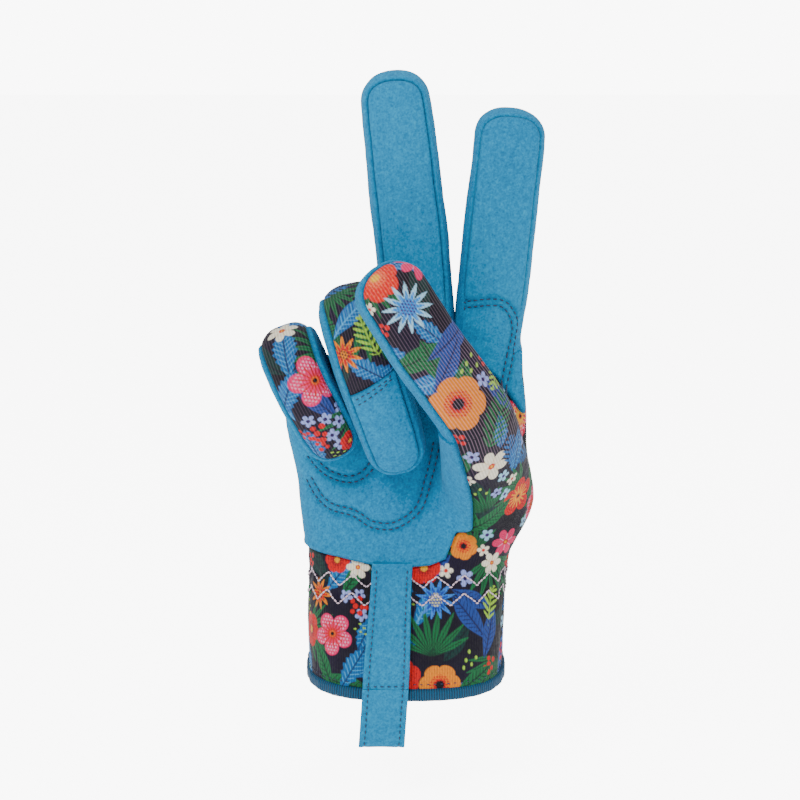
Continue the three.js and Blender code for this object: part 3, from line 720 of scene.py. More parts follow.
class PrintPainter:
    """Paints the flowered print on cloth vertices, motif by motif, as a screen printer lays inks."""

    EDGE = 0.24  # softness of an ink's edge, mm

    def __init__(self, seed: int = 11) -> None:
        """Starts with no motifs placed."""
        self.rng = np.random.default_rng(seed)
        self.placed: list[tuple[Motif, Array, Array, Array]] = []

    def cover(self, distance: Array) -> Array:
        """Ink cover from 0 to 1 for a signed distance, negative inside."""
        return np.clip(0.5 - distance / self.EDGE, 0, 1)

    def petals(self, u: Array, v: Array, radius: float, count: int, waist: float, sharp: float) -> Array:
        """Signed distance to a ring of petals; waist is the radius share between petals."""
        r, a = np.hypot(u, v), np.arctan2(u, v)
        fold = np.abs(((a * count / (2 * math.pi)) % 1) - 0.5) * 2
        return r - radius * (waist + (1 - waist) * np.abs(1 - fold) ** sharp) if sharp >= 1 else r - radius * (
            waist + (1 - waist) * np.sqrt(np.clip(1 - fold**2, 0, 1)) ** (1 / (sharp + 0.5)))

    def specks(self, u: Array, v: Array, pitch: float, size: float) -> Array:
        """Distance to a staggered grid of small dots."""
        row = np.round(v / pitch)
        du = (u / pitch + 0.5 * (row % 2)) % 1 - 0.5
        return np.hypot(du, v / pitch - row) * pitch - size

    def layers(self, m: Motif, u: Array, v: Array) -> Iterable[tuple[Array, str]]:
        """The inks of one motif in printing order.

        Args:
            m: the motif. u, v: vertex places in its plane, mm.
        Yields:
            Signed distance and sRGB colour of each ink.
        """
        r, a, size, k = np.hypot(u, v), np.arctan2(u, v), m.radius, m.inks
        if m.kind is Bloom.POPPY:
            petals = self.petals(u, v, size, 6, 0.82, 0.4)
            yield petals, k.main
            yield np.maximum(petals + 0.6, self.specks(u, v, 1.5, 0.28)), "#f0962c" if k is YELLOW else k.inner
            ring = np.maximum(r - size * 0.5, self.specks(u, v, 1.05, 0.42))
            yield ring, k.inner
            yield r - size * 0.3 - 0.25 * np.sin(a * 9), k.inner
            yield r - size * 0.21 - 0.2 * np.sin(a * 11), k.heart
        elif m.kind is Bloom.DAISY:
            yield self.petals(u, v, size, 12 if size > 7 else 10, 0.34, 1.0), k.main
            yield self.petals(u, v, size * 0.66, 12 if size > 7 else 10, 0.4, 1.0), k.inner
            yield r - size * 0.24, k.main if k is YELLOW else k.inner
            yield np.maximum(r - size * 0.32, self.specks(u, v, 1.15, 0.4)), k.heart
        elif m.kind is Bloom.HIBISCUS:
            petals = self.petals(u, v, size, 5, 0.6, 0.1)
            yield petals, k.main
            yield np.maximum(petals + size * 0.1, self.specks(u, v, 1.25, 0.34)) + 0.3 * (r < size * 0.45), k.inner
            yield np.maximum(r - size * 0.62, np.abs(np.sin(a * 7.5)) * r * 0.2 - 0.4), k.heart
            yield r - size * 0.16, "#f08a2c"
            yield r - size * 0.09, NAVY
        elif m.kind is Bloom.BLOSSOM:
            yield self.petals(u, v, size, 6, 0.46, 0.1), k.main
            yield np.maximum(r - size * 0.6, np.abs(np.sin(a * 3)) * r * 0.5 - 0.22), k.inner
            yield r - size * 0.2, k.heart
            yield r - size * 0.1, "#f9c33a"
        elif m.kind is Bloom.STARLET:
            yield self.petals(u, v, size, 5, 0.36, 0.1), k.main
            yield r - size * 0.28, k.heart
        elif m.kind is Bloom.BERRIES:
            for i, (du, dv) in enumerate(((-0.6, 0.5), (0.35, 0.85), (0.7, -0.2), (-0.15, -0.1), (-0.5, -0.8), (0.45, -0.95))):
                yield np.hypot(u - du * size, v - dv * size) - size * (0.3 + 0.05 * (i % 2)), k.main
        elif m.kind is Bloom.DOTS:
            for du, dv in ((-0.1, 0.75), (0.6, 0.1), (-0.45, -0.05), (0.1, -0.5), (-0.7, -0.75)):
                yield np.hypot((u - du * size) * 1.5, v - dv * size) - size * 0.2, k.main
        elif m.kind in (Bloom.LEAF, Bloom.SERRATED):
            along = np.clip(v / size, -1, 1)
            width = size * (0.34 if m.kind is Bloom.LEAF else 0.46) * (1 - np.abs(along) ** 1.8) * (1 + 0.25 * along)
            if m.kind is Bloom.SERRATED:
                width = width * (0.72 + 0.28 * np.abs(((v - 0.5 * np.abs(u)) / 2.6) % 1 * 2 - 1))
            blade = np.maximum(np.abs(u) - width, np.abs(v) - size)
            yield blade, k.main
            veins = np.abs(((v - np.abs(u) * 0.8) / 1.9) % 1 - 0.5) * 1.9 - 0.2
            yield np.maximum(blade + 0.5, veins), k.inner
            yield np.maximum(blade + 0.2, np.abs(u) - 0.3), k.inner if m.kind is Bloom.LEAF else k.heart
        elif m.kind is Bloom.FERN:
            bent = u - 0.012 * v * v
            yield np.maximum(np.abs(bent) - 0.3, np.abs(v) - size), k.main
            reach = size * 0.55 * np.clip(1 - (v / size) ** 2, 0, 1) ** 0.5
            cell = np.abs(((v - np.abs(bent) * 0.8) / 2.5) % 1 - 0.5) * 2.5
            yield np.maximum(cell - 0.72 * np.clip(1 - (np.abs(bent) / np.maximum(reach, 0.1) * 1.6 - 0.8) ** 2, 0, 1),
                np.abs(bent) - reach), k.main
        else:
            up = v + size * 0.8
            turn, far = np.arctan2(u, up), np.hypot(u, up)
            blade = np.abs(((turn / 0.32) % 1) - 0.5) * 0.32 * far
            reach = 1.75 * size * (1 - 0.2 * (turn / 1.2) ** 2)
            width = np.minimum(0.13 * far, 0.11 * size * np.clip(1 - far / reach, 0, 1) ** 0.6 * 1.6)
            yield np.maximum(np.maximum(blade - width, (np.abs(turn) - 1.28) * far), far - reach), k.main
            yield np.maximum(np.maximum(blade - 0.16, (np.abs(turn) - 1.28) * far), far - reach * 0.8), k.inner

    def place_heroes(self, cast: Callable[[float, float], tuple[Array, Array] | None]) -> None:
        """Finds where each hero motif lies on the cloth, looked at from the palm side.

        Args:
            cast: gives the point and normal of the surface met at x, z, or nothing.
        """
        for m in HERO_MOTIFS:
            hit = cast(m.x, m.z)
            if hit is not None:
                self.anchor(m, *hit)

    def anchor(self, m: Motif, point: Array, normal: Array, seen_from: Array | None = None) -> None:
        """Lays one motif's plane on the surface."""
        side = np.cross(vec(0, 0, 1), normal)
        side = unit(side if np.linalg.norm(side) > 0.2 else vec(1, 0, 0))
        if seen_from is None and side[0] < 0:
            side = -side
        rise = unit(np.cross(normal, side))
        if rise[2] < 0:
            rise = -rise
        t = math.radians(m.turn)
        self.placed.append((m, point, math.cos(t) * side - math.sin(t) * rise, math.sin(t) * side + math.cos(t) * rise))

    def scatter(self, points: Array, normals: Array) -> None:
        """Fills the cloth between the heroes with seeded motifs, leaves first.

        Args:
            points: sample points of all the printed cloth, mm. normals: their normals.
        """
        heroes, self.placed = self.placed, []
        hero_at = np.array([h[1] for h in heroes])
        hero_size = np.array([h[0].radius for h in heroes])
        big = (Bloom.POPPY, Bloom.HIBISCUS, Bloom.DAISY, Bloom.BLOSSOM)
        rounds: list[tuple[tuple[Bloom, ...], tuple[Inks, ...], float, float, float, int]] = [
            ((Bloom.LEAF, Bloom.PALM_FAN, Bloom.SERRATED, Bloom.LEAF), (GREEN, DUSK, DEEP, TEAL, DEEP), 7.5, 11.5, 12, 700),
            (big, (YELLOW, PINK, RED, SKY, CREAM, CORAL, BLUE, ROSE), 6, 9.6, 19.5, 1500),
            ((Bloom.FERN,), (LIME, TEAL, GREEN), 5.5, 7.5, 16, 500),
            ((Bloom.STARLET, Bloom.DOTS, Bloom.STARLET, Bloom.BERRIES, Bloom.STARLET), (LILAC, LIME, CREAM, RED, SKY), 2.4, 3.4, 6.8, 2600),
        ]
        taken_at, taken_size = np.zeros((0, 3)), np.zeros(0)
        for kinds, inks, low, high, apart, tries in rounds:
            own = np.zeros((0, 3))
            for i in self.rng.integers(0, len(points), tries):
                p, radius, pick = points[i], self.rng.uniform(low, high), int(self.rng.integers(0, 1000))
                if len(own) and np.linalg.norm(own - p, axis=1).min() < apart:
                    continue
                leafy = kinds[0] is Bloom.LEAF
                room = 0.25 if leafy else 0.9
                if len(hero_at) and (np.linalg.norm(hero_at - p, axis=1) < hero_size * room + radius * room).any():
                    continue
                if not leafy and len(taken_at) and (np.linalg.norm(taken_at - p, axis=1) < taken_size * 0.85 + radius * 0.7).any():
                    continue
                kind = kinds[pick % len(kinds)]
                ink = inks[pick % len(inks)] if kind in (Bloom.STARLET, Bloom.DOTS, Bloom.BERRIES) else inks[(pick // 7) % len(inks)]
                ink = {Bloom.POPPY: (YELLOW, CORAL, RED)[pick % 3], Bloom.HIBISCUS: (PINK, ROSE, RED)[pick % 3],
                    Bloom.DAISY: (SKY, BLUE, YELLOW)[pick % 3],
                       Bloom.BLOSSOM: (CREAM, PINK)[pick % 2], Bloom.SERRATED: TEAL, Bloom.PALM_FAN: GREEN}.get(kind, ink)
                self.anchor(Motif(kind, 0, 0, radius, ink, float(self.rng.uniform(0, 360))), p, normals[i], p)
                own = np.vstack([own, p])
                if not leafy:
                    taken_at, taken_size = np.vstack([taken_at, p]), np.r_[taken_size, radius]
        self.placed += heroes

    def paint(self, points: Array, normals: Array) -> Array:
        """Colours vertices.

        Args:
            points: vertex positions, mm. normals: their normals.
        Returns:
            (n, 4) linear colours.
        """
        tone = 0.5 + 0.5 * ripple(points, 26, 5)[:, None]
        colours = np.array(dyed(NAVY)) * (1 - tone) + np.array(dyed("#3a2256")) * tone
        for m, at, side, rise in self.placed:
            rel = points - at
            near = np.nonzero(((rel * rel).sum(1) < (m.radius * 1.45) ** 2) & (normals @ unit(np.cross(side,
                rise)) * np.sign(unit(np.cross(side, rise)) @ (normals[((rel * rel).sum(1)).argmin()])) > 0.15))[0]
            if not len(near):
                continue
            u, v = rel[near] @ side, rel[near] @ rise
            for distance, ink in self.layers(m, u, v):
                share = self.cover(distance)[:, None]
                colours[near] = colours[near] * (1 - share) + np.array(dyed(ink)) * share
        return colours


# ---------------------------------------------------------------- materials
def node(tree: bpy.types.NodeTree, kind: str, inputs: dict | None = None, **settings: object) -> bpy.types.Node:
    """Adds one node.

    Args:
        tree: node tree. kind: node type name.
        inputs: value or output socket for each input, by name or number.
        settings: attributes of the node.
    Returns:
        The node.
    """
    made = tree.nodes.new(kind)
    for name, value in settings.items():
        setattr(made, name, value)
    for key, value in (inputs or {}).items():
        if isinstance(value, bpy.types.NodeSocket):
            tree.links.new(value, made.inputs[key])
        else:
            made.inputs[key].default_value = value
    return made


def new_material(name: str) -> tuple[bpy.types.Material, bpy.types.NodeTree, bpy.types.Node]:
    """A material with only its output and a Principled shader."""
    made = bpy.data.materials.new(name)
    made.use_nodes = True
    tree = made.node_tree
    tree.nodes.clear()
    shader = node(tree, "ShaderNodeBsdfPrincipled")
    node(tree, "ShaderNodeOutputMaterial", {"Surface": shader.outputs[0]})
    return made, tree, shader


@dataclass(frozen=True)
class SuedeCloth:
    """Brushed microfibre suede: a short nap mottled in soft light flecks, with painted shade darkening it along its
    sunk seams and stitch rows.
    """

    name: str = "brushed_microfibre_suede"
    light: str = "#52d0ee"
    middle: str = "#32b4dc"
    dark: str = "#1e98c2"
    nap: float = 0.42  # size of a tuft, mm
    mottle: float = 0.95  # size of a brushed patch, mm
    sheen: float = 0.06

    def build(self) -> bpy.types.Material:
        """Makes the material."""
        made, tree, shader = new_material(self.name)
        place = node(tree, "ShaderNodeTexCoord").outputs["Object"]
        tuft = node(tree, "ShaderNodeTexNoise", {"Vector": place, "Scale": 1 / (self.nap * 2 * MM), "Detail": 4.0, "Roughness": 0.75})
        patch = node(tree, "ShaderNodeTexNoise", {"Vector": place, "Scale": 1 / (self.mottle * 2 * MM), "Detail": 3.0, "Roughness": 0.7})
        broad = node(tree, "ShaderNodeTexNoise", {"Vector": place, "Scale": 1 / (60 * MM), "Detail": 1.0})
        mixed = node(tree, "ShaderNodeMath", {0: tuft.outputs[0], 1: 0.55}, operation="MULTIPLY")
        mixed = node(tree, "ShaderNodeMath", {0: patch.outputs[0], 1: 0.3, 2: mixed.outputs[0]}, operation="MULTIPLY_ADD")
        mixed = node(tree, "ShaderNodeMath", {0: broad.outputs[0], 1: 0.15, 2: mixed.outputs[0]}, operation="MULTIPLY_ADD")
        ramp_node = node(tree, "ShaderNodeValToRGB", {0: mixed.outputs[0]})
        stops = ramp_node.color_ramp
        stops.elements[0].position, stops.elements[0].color = 0.4, dyed(self.dark, 0.66, 1.5)
        stops.elements[1].position, stops.elements[1].color = 0.72, dyed(self.light, 0.66, 1.5)
        stops.elements.new(0.55).color = dyed(self.middle, 0.66, 1.5)
        # painted shade: a vertex attribute darkens the suede towards a deep blue in its sunk seam grooves and stitch
        # rows
        shade_amount = node(tree, "ShaderNodeAttribute", attribute_name="worn")
        worn = node(tree, "ShaderNodeMix", {0: shade_amount.outputs["Fac"], 6: ramp_node.outputs[0], 7: dyed("#175a80")}, data_type="RGBA")
        tree.links.new(worn.outputs[2], shader.inputs["Base Color"])
        rough = node(tree, "ShaderNodeMapRange", {0: patch.outputs[0], 1: 0.3, 2: 0.7, 3: 0.82, 4: 0.97})
        tree.links.new(rough.outputs[0], shader.inputs["Roughness"])
        shader.inputs["Sheen Weight"].default_value = self.sheen
        shader.inputs["Sheen Roughness"].default_value = 0.45
        shader.inputs["Sheen Tint"].default_value = linear("#bfe8ff")
        shader.inputs["Specular IOR Level"].default_value = 0.2
        bump = node(tree, "ShaderNodeBump", {"Strength": 0.55, "Distance": 0.25 * MM, "Height": tuft.outputs[0]})
        tree.links.new(bump.outputs[0], shader.inputs["Normal"])
        return made


@dataclass(frozen=True)
class PrintedKnit:
    """Sublimation-printed polyester knit: fine ribs whose crowns show pale, with painted shade in the troughs between
    them and a little painted light on their crowns.
    """

    name: str = "printed_polyester_knit"
    rib: float = 1.1  # wale spacing, mm

    def build(self) -> bpy.types.Material:
        """Makes the material."""
        made, tree, shader = new_material(self.name)
        ink = node(tree, "ShaderNodeAttribute", attribute_name="print")
        wale = node(tree, "ShaderNodeAttribute", attribute_name="rib")
        place = node(tree, "ShaderNodeTexCoord").outputs["Object"]
        turns = node(tree, "ShaderNodeMath", {0: wale.outputs["Fac"], 1: 2 * math.pi / self.rib}, operation="MULTIPLY")
        wave = node(tree, "ShaderNodeMath", {0: turns.outputs[0]}, operation="SINE")
        crown = node(tree, "ShaderNodeMapRange", {0: wave.outputs[0], 1: 0.35, 2: 1.0, 3: 0.0, 4: 0.5})
        stretch = node(tree, "ShaderNodeAttribute", attribute_name="stretch")
        fuzz = node(tree, "ShaderNodeTexNoise", {"Vector": place, "Scale": 1 / (1.3 * MM), "Detail": 3.0})
        shine = node(tree, "ShaderNodeMath", {0: crown.outputs[0], 1: stretch.outputs["Fac"]}, operation="MULTIPLY")
        pale = node(tree, "ShaderNodeMix", {0: shine.outputs[0], 6: ink.outputs["Color"], 7: dyed("#e6cadb")}, data_type="RGBA")
        # painted shade and light: colour darkened in the rib troughs and lifted slightly on the crowns, following the
        # same wave as the bump
        depth = node(tree, "ShaderNodeMapRange", {0: wave.outputs[0], 1: -1.0, 2: 1.0, 3: 0.78, 4: 1.06})
        grain = node(tree, "ShaderNodeMapRange", {0: fuzz.outputs[0], 1: 0.3, 2: 0.7, 3: 0.9, 4: 1.1})
        both = node(tree, "ShaderNodeMath", {0: depth.outputs[0], 1: grain.outputs[0]}, operation="MULTIPLY")
        shaded = node(tree, "ShaderNodeMix", {0: 1.0, 6: pale.outputs[2], 7: both.outputs[0]}, data_type="RGBA", blend_type="MULTIPLY")
        tree.links.new(shaded.outputs[2], shader.inputs["Base Color"])
        rough = node(tree, "ShaderNodeMapRange", {0: fuzz.outputs[0], 1: 0.3, 2: 0.7, 3: 0.55, 4: 0.75})
        tree.links.new(rough.outputs[0], shader.inputs["Roughness"])
        shader.inputs["Sheen Weight"].default_value = 0.03
        shader.inputs["Specular IOR Level"].default_value = 0.2
        height = node(tree, "ShaderNodeMath", {0: fuzz.outputs[0], 1: 0.4, 2: wave.outputs[0]}, operation="MULTIPLY_ADD")
        bump = node(tree, "ShaderNodeBump", {"Strength": 0.5, "Distance": 0.12 * MM, "Height": height.outputs[0]})
        tree.links.new(bump.outputs[0], shader.inputs["Normal"])
        return made


@dataclass(frozen=True)
class RibbedTape:
    """Woven polyester tape or covered elastic: upright ribs with a slight satin shine, and painted shade darkening the
    troughs between ribs.
    """

    name: str = "woven_ribbed_tape"
    colour: str = "#1c86a8"
    # the dark colour is painted shade in the rib troughs
    dark: str = "#155470"
    rib: float = 0.95  # spacing, mm; a real rib is nearer 0.5 mm, drawn coarser so that it shows

    def build(self) -> bpy.types.Material:
        """Makes the material."""
        made, tree, shader = new_material(self.name)
        wale = node(tree, "ShaderNodeAttribute", attribute_name="rib")
        place = node(tree, "ShaderNodeTexCoord").outputs["Object"]
        turns = node(tree, "ShaderNodeMath", {0: wale.outputs["Fac"], 1: 2 * math.pi / self.rib}, operation="MULTIPLY")
        wave = node(tree, "ShaderNodeMath", {0: turns.outputs[0]}, operation="SINE")
        fuzz = node(tree, "ShaderNodeTexNoise", {"Vector": place, "Scale": 1 / (0.9 * MM), "Detail": 2.0})
        height = node(tree, "ShaderNodeMath", {0: fuzz.outputs[0], 1: 0.9, 2: wave.outputs[0]}, operation="MULTIPLY_ADD")
        # painted shade: colour runs from the dark tint in the rib troughs to the main colour on the crowns, by the same
        # height as the bump, with random tone from the noise
        share = node(tree, "ShaderNodeMapRange", {0: height.outputs[0], 1: -0.7, 2: 1.5, 3: 0.0, 4: 1.0})
        tint = node(tree, "ShaderNodeMix", {0: share.outputs[0], 6: dyed(self.dark), 7: dyed(self.colour)}, data_type="RGBA")
        tree.links.new(tint.outputs[2], shader.inputs["Base Color"])
        rough = node(tree, "ShaderNodeMapRange", {0: fuzz.outputs[0], 1: 0.3, 2: 0.7, 3: 0.5, 4: 0.7})
        tree.links.new(rough.outputs[0], shader.inputs["Roughness"])
        shader.inputs["Specular IOR Level"].default_value = 0.25
        bump = node(tree, "ShaderNodeBump", {"Strength": 0.6, "Distance": 0.15 * MM, "Height": height.outputs[0]})
        tree.links.new(bump.outputs[0], shader.inputs["Normal"])
        return made


@dataclass(frozen=True)
class FineGrain:
    """A plain dyed stuff with fine unevenness: sewing thread, foam or brushed lining."""

    name: str
    light: str
    dark: str
    grain: float = 0.5  # size of the unevenness, mm
    rough: float = 0.7
    sheen: float = 0.1

    def build(self) -> bpy.types.Material:
        """Makes the material."""
        made, tree, shader = new_material(self.name)
        place = node(tree, "ShaderNodeTexCoord").outputs["Object"]
        fuzz = node(tree, "ShaderNodeTexNoise", {"Vector": place, "Scale": 1 / (2 * self.grain * MM), "Detail": 3.0})
        tint = node(tree, "ShaderNodeMix", {0: fuzz.outputs[0], 6: dyed(self.dark, 0.9, 1.1), 7: dyed(self.light, 0.9, 1.1)},
            data_type="RGBA")
        tree.links.new(tint.outputs[2], shader.inputs["Base Color"])
        span = node(tree, "ShaderNodeMapRange", {0: fuzz.outputs[0], 3: self.rough - 0.08, 4: self.rough + 0.08})
        tree.links.new(span.outputs[0], shader.inputs["Roughness"])
        shader.inputs["Sheen Weight"].default_value = self.sheen
        bump = node(tree, "ShaderNodeBump", {"Strength": 0.4, "Distance": 0.1 * MM, "Height": fuzz.outputs[0]})
        tree.links.new(bump.outputs[0], shader.inputs["Normal"])
        return made


# ---------------------------------------------------------------- pieces
class Finish(Enum):
    """The finishes of the glove's pieces."""

    SUEDE = "suede"
    PRINT = "print"
    TAPE = "hem_tape"
    FOAM = "foam"
    LINING = "lining"
    ELASTIC = "elastic"


class Workshop:
    """Keeps the materials and turns finished meshes into pieces."""

    def __init__(self) -> None:
        """Builds each material once."""
        self.finishes: dict[Finish, bpy.types.Material] = {
            Finish.SUEDE: SuedeCloth().build(),
            Finish.PRINT: PrintedKnit().build(),
            Finish.TAPE: RibbedTape().build(),
            Finish.FOAM: FineGrain("open_cell_foam", "#f1efe6", "#d9d5c6", 0.9).build(),
            Finish.LINING: FineGrain("brushed_tricot_lining", "#3d4658", "#262c3a", 0.6, 0.85, 0.3).build(),
            Finish.ELASTIC: RibbedTape("covered_elastic_tape", "#f2f1ee", "#c9c8c4").build(),
        }
        self.dark_thread = FineGrain("dark_polyester_thread", "#1f3a62", "#0d1c38", 0.15, 0.55).build()
        self.pale_thread = FineGrain("pale_polyester_thread", "#f4dfe6", "#b99fb4", 0.15, 0.5).build()
        self.blue_thread = FineGrain("blue_polyester_thread", "#8fd3f2", "#3f9ccc", 0.15, 0.5).build()

    def piece(self, name: str, points: Array, faces: Array, finish: Finish | bpy.types.Material,
        numbers: dict[str, Array] | None = None) -> bpy.types.Object:
        """Makes one object at the origin.

        Args:
            name: piece name.
            points: vertices in mm.
            faces: (n, 3) or (n, 4) vertex numbers, facing out.
            finish: its finish or material.
            numbers: vertex attributes; four columns make a colour.
        Returns:
            The object.
        """
        mesh = bpy.data.meshes.new(name)
        count, width = len(faces), faces.shape[1]
        mesh.vertices.add(len(points))
        mesh.vertices.foreach_set("co", (np.asarray(points) * MM).astype(np.float32).ravel())
        mesh.loops.add(count * width)
        mesh.loops.foreach_set("vertex_index", faces.astype(np.int32).ravel())
        mesh.polygons.add(count)
        mesh.polygons.foreach_set("loop_start", np.arange(0, count * width, width, dtype=np.int32))
        mesh.update(calc_edges=True)
        mesh.validate()
        mesh.polygons.foreach_set("use_smooth", np.ones(len(mesh.polygons), bool))
        mesh.set_sharp_from_angle(angle=math.radians(62))
        for label, values in (numbers or {}).items():
            colour = values.ndim == 2
            made = mesh.attributes.new(label, "FLOAT_COLOR" if colour else "FLOAT", "POINT")
            made.data.foreach_set("color" if colour else "value", values.astype(np.float32).ravel())
        mesh.materials.append(self.finishes[finish] if isinstance(finish, Finish) else finish)
        made = bpy.data.objects.new(name, mesh)
        bpy.context.scene.collection.objects.link(made)
        return made

    def report(self, made: bpy.types.Object, body: str) -> None:
        """Logs a finished piece."""
        LOG.info("%-28s %7d faces, with %s", made.name, len(made.data.polygons), body)


def tree_of(cloths: Sequence[Cloth]) -> BVHTree:
    """A search tree over cloths, for dropping points on them."""
    points, tris, offset = [], [], 0
    for cloth in cloths:
        points.append(cloth.points)
        tris.append(cloth.tris + offset)
        offset += len(cloth.data)
    return BVHTree.FromPolygons(np.vstack(points).tolist(), np.vstack(tris).tolist())


def near_distance(points: Array, targets: Array) -> Array:
    """Distance from each point to its nearest target."""
    if not len(targets):
        return np.full(len(points), FAR)
    tree = KDTree(len(targets))
    for i, target in enumerate(targets):
        tree.insert(target, i)
    tree.balance()
    return np.array([tree.find(p)[2] for p in points.tolist()])


def closed_shell(base: Cloth, finish: Finish, thickness: float, lift: Callable[[Cloth], Array]) -> tuple[Array, Array, Cloth]:
    """Gives a panel its thickness.

    Args:
        base: the panel's surface. finish: its finish; print is meshed twice as fine.
        thickness: of the cloth, mm. lift: how far each vertex stands off the form.
    Returns:
        Points and triangles of the closed panel, and the outer surface with its numbers.
    """
    n = len(base.data)
    if finish is Finish.PRINT:
        mesh, table = base.refined()
    else:
        mesh, table = base, None
    normal = unit(np.stack([mesh.column(c) for c in ("nx", "ny", "nz")], 1))
    outer = mesh.points + normal * lift(mesh)[:, None]
    under = mesh.points - normal * (thickness + 0.2)
    if table is None:
        inside = base.tris
    else:
        keys = table["edges"] @ np.array([n + 1, 1])
        border = base.rim_edges()
        border_keys = set((np.sort(border, 1) @ np.array([n + 1, 1])).tolist())
        e = base.tris[:, [0, 1, 1, 2, 2, 0]].reshape(-1, 3, 2)
        tri_keys = np.sort(e, 2) @ np.array([n + 1, 1])
        flagged = np.isin(tri_keys, list(border_keys))
        whole = base.tris[~flagged.any(1)]
        extra = []
        for row in np.nonzero(flagged.any(1))[0]:
            loop = []
            for k in range(3):
                loop.append(int(base.tris[row, k]))
                if flagged[row, k]:
                    loop.append(n + int(np.searchsorted(keys, tri_keys[row, k])))
            start = next(i for i, v in enumerate(loop) if v >= n)
            loop = loop[start:] + loop[:start]
            extra += [(loop[0], loop[i], loop[i + 1]) for i in range(1, len(loop) - 1)]
        inside = np.vstack([whole, np.array(extra, int).reshape(-1, 3)])
    rim = mesh.rim_edges()
    used = np.unique(np.r_[inside.ravel(), rim.ravel()])
    index = np.full(len(mesh.data), -1)
    index[used] = np.arange(len(used)) + len(outer)
    a, b = rim.T
    strip = np.vstack([np.stack([b, a, index[a]], 1), np.stack([b, index[a], index[b]], 1)])
    return np.vstack([outer, under[used]]), np.vstack([mesh.tris, index[inside[:, ::-1]], strip]), mesh


@dataclass
class StitchedLine:
    """A row of machine stitching that sinks into the palm; points are x, z in mm from the palm side."""

    name: str
    path: tuple[tuple[float, float], ...]
    spread: float = 1.2  # half the distance between its two rows


PALM_LINES: tuple[StitchedLine, ...] = (
    StitchedLine("heel",
        ((-38.5, 78), (-35, 72.5), (-30, 68.6), (-21.5, 66.6), (-14.3, 62.5), (-5.5, 62.5), (3, 68.8), (6.8, 80), (8.6, 87), (9.8, 93))),
    StitchedLine("inner", ((-38.2, 87.5), (-34.5, 83.6), (-30, 80.8), (-24, 79.4), (-18.8, 80.8), (-14.4, 85.4), (-12.6, 90))),
    StitchedLine("index_pad",
        ((17.6, 143.9), (24.4, 145.5), (33.9, 145.9), (38.5, 141.3), (39.7, 134.8), (37.9, 126), (36, 116.3), (34.5, 112))),
)


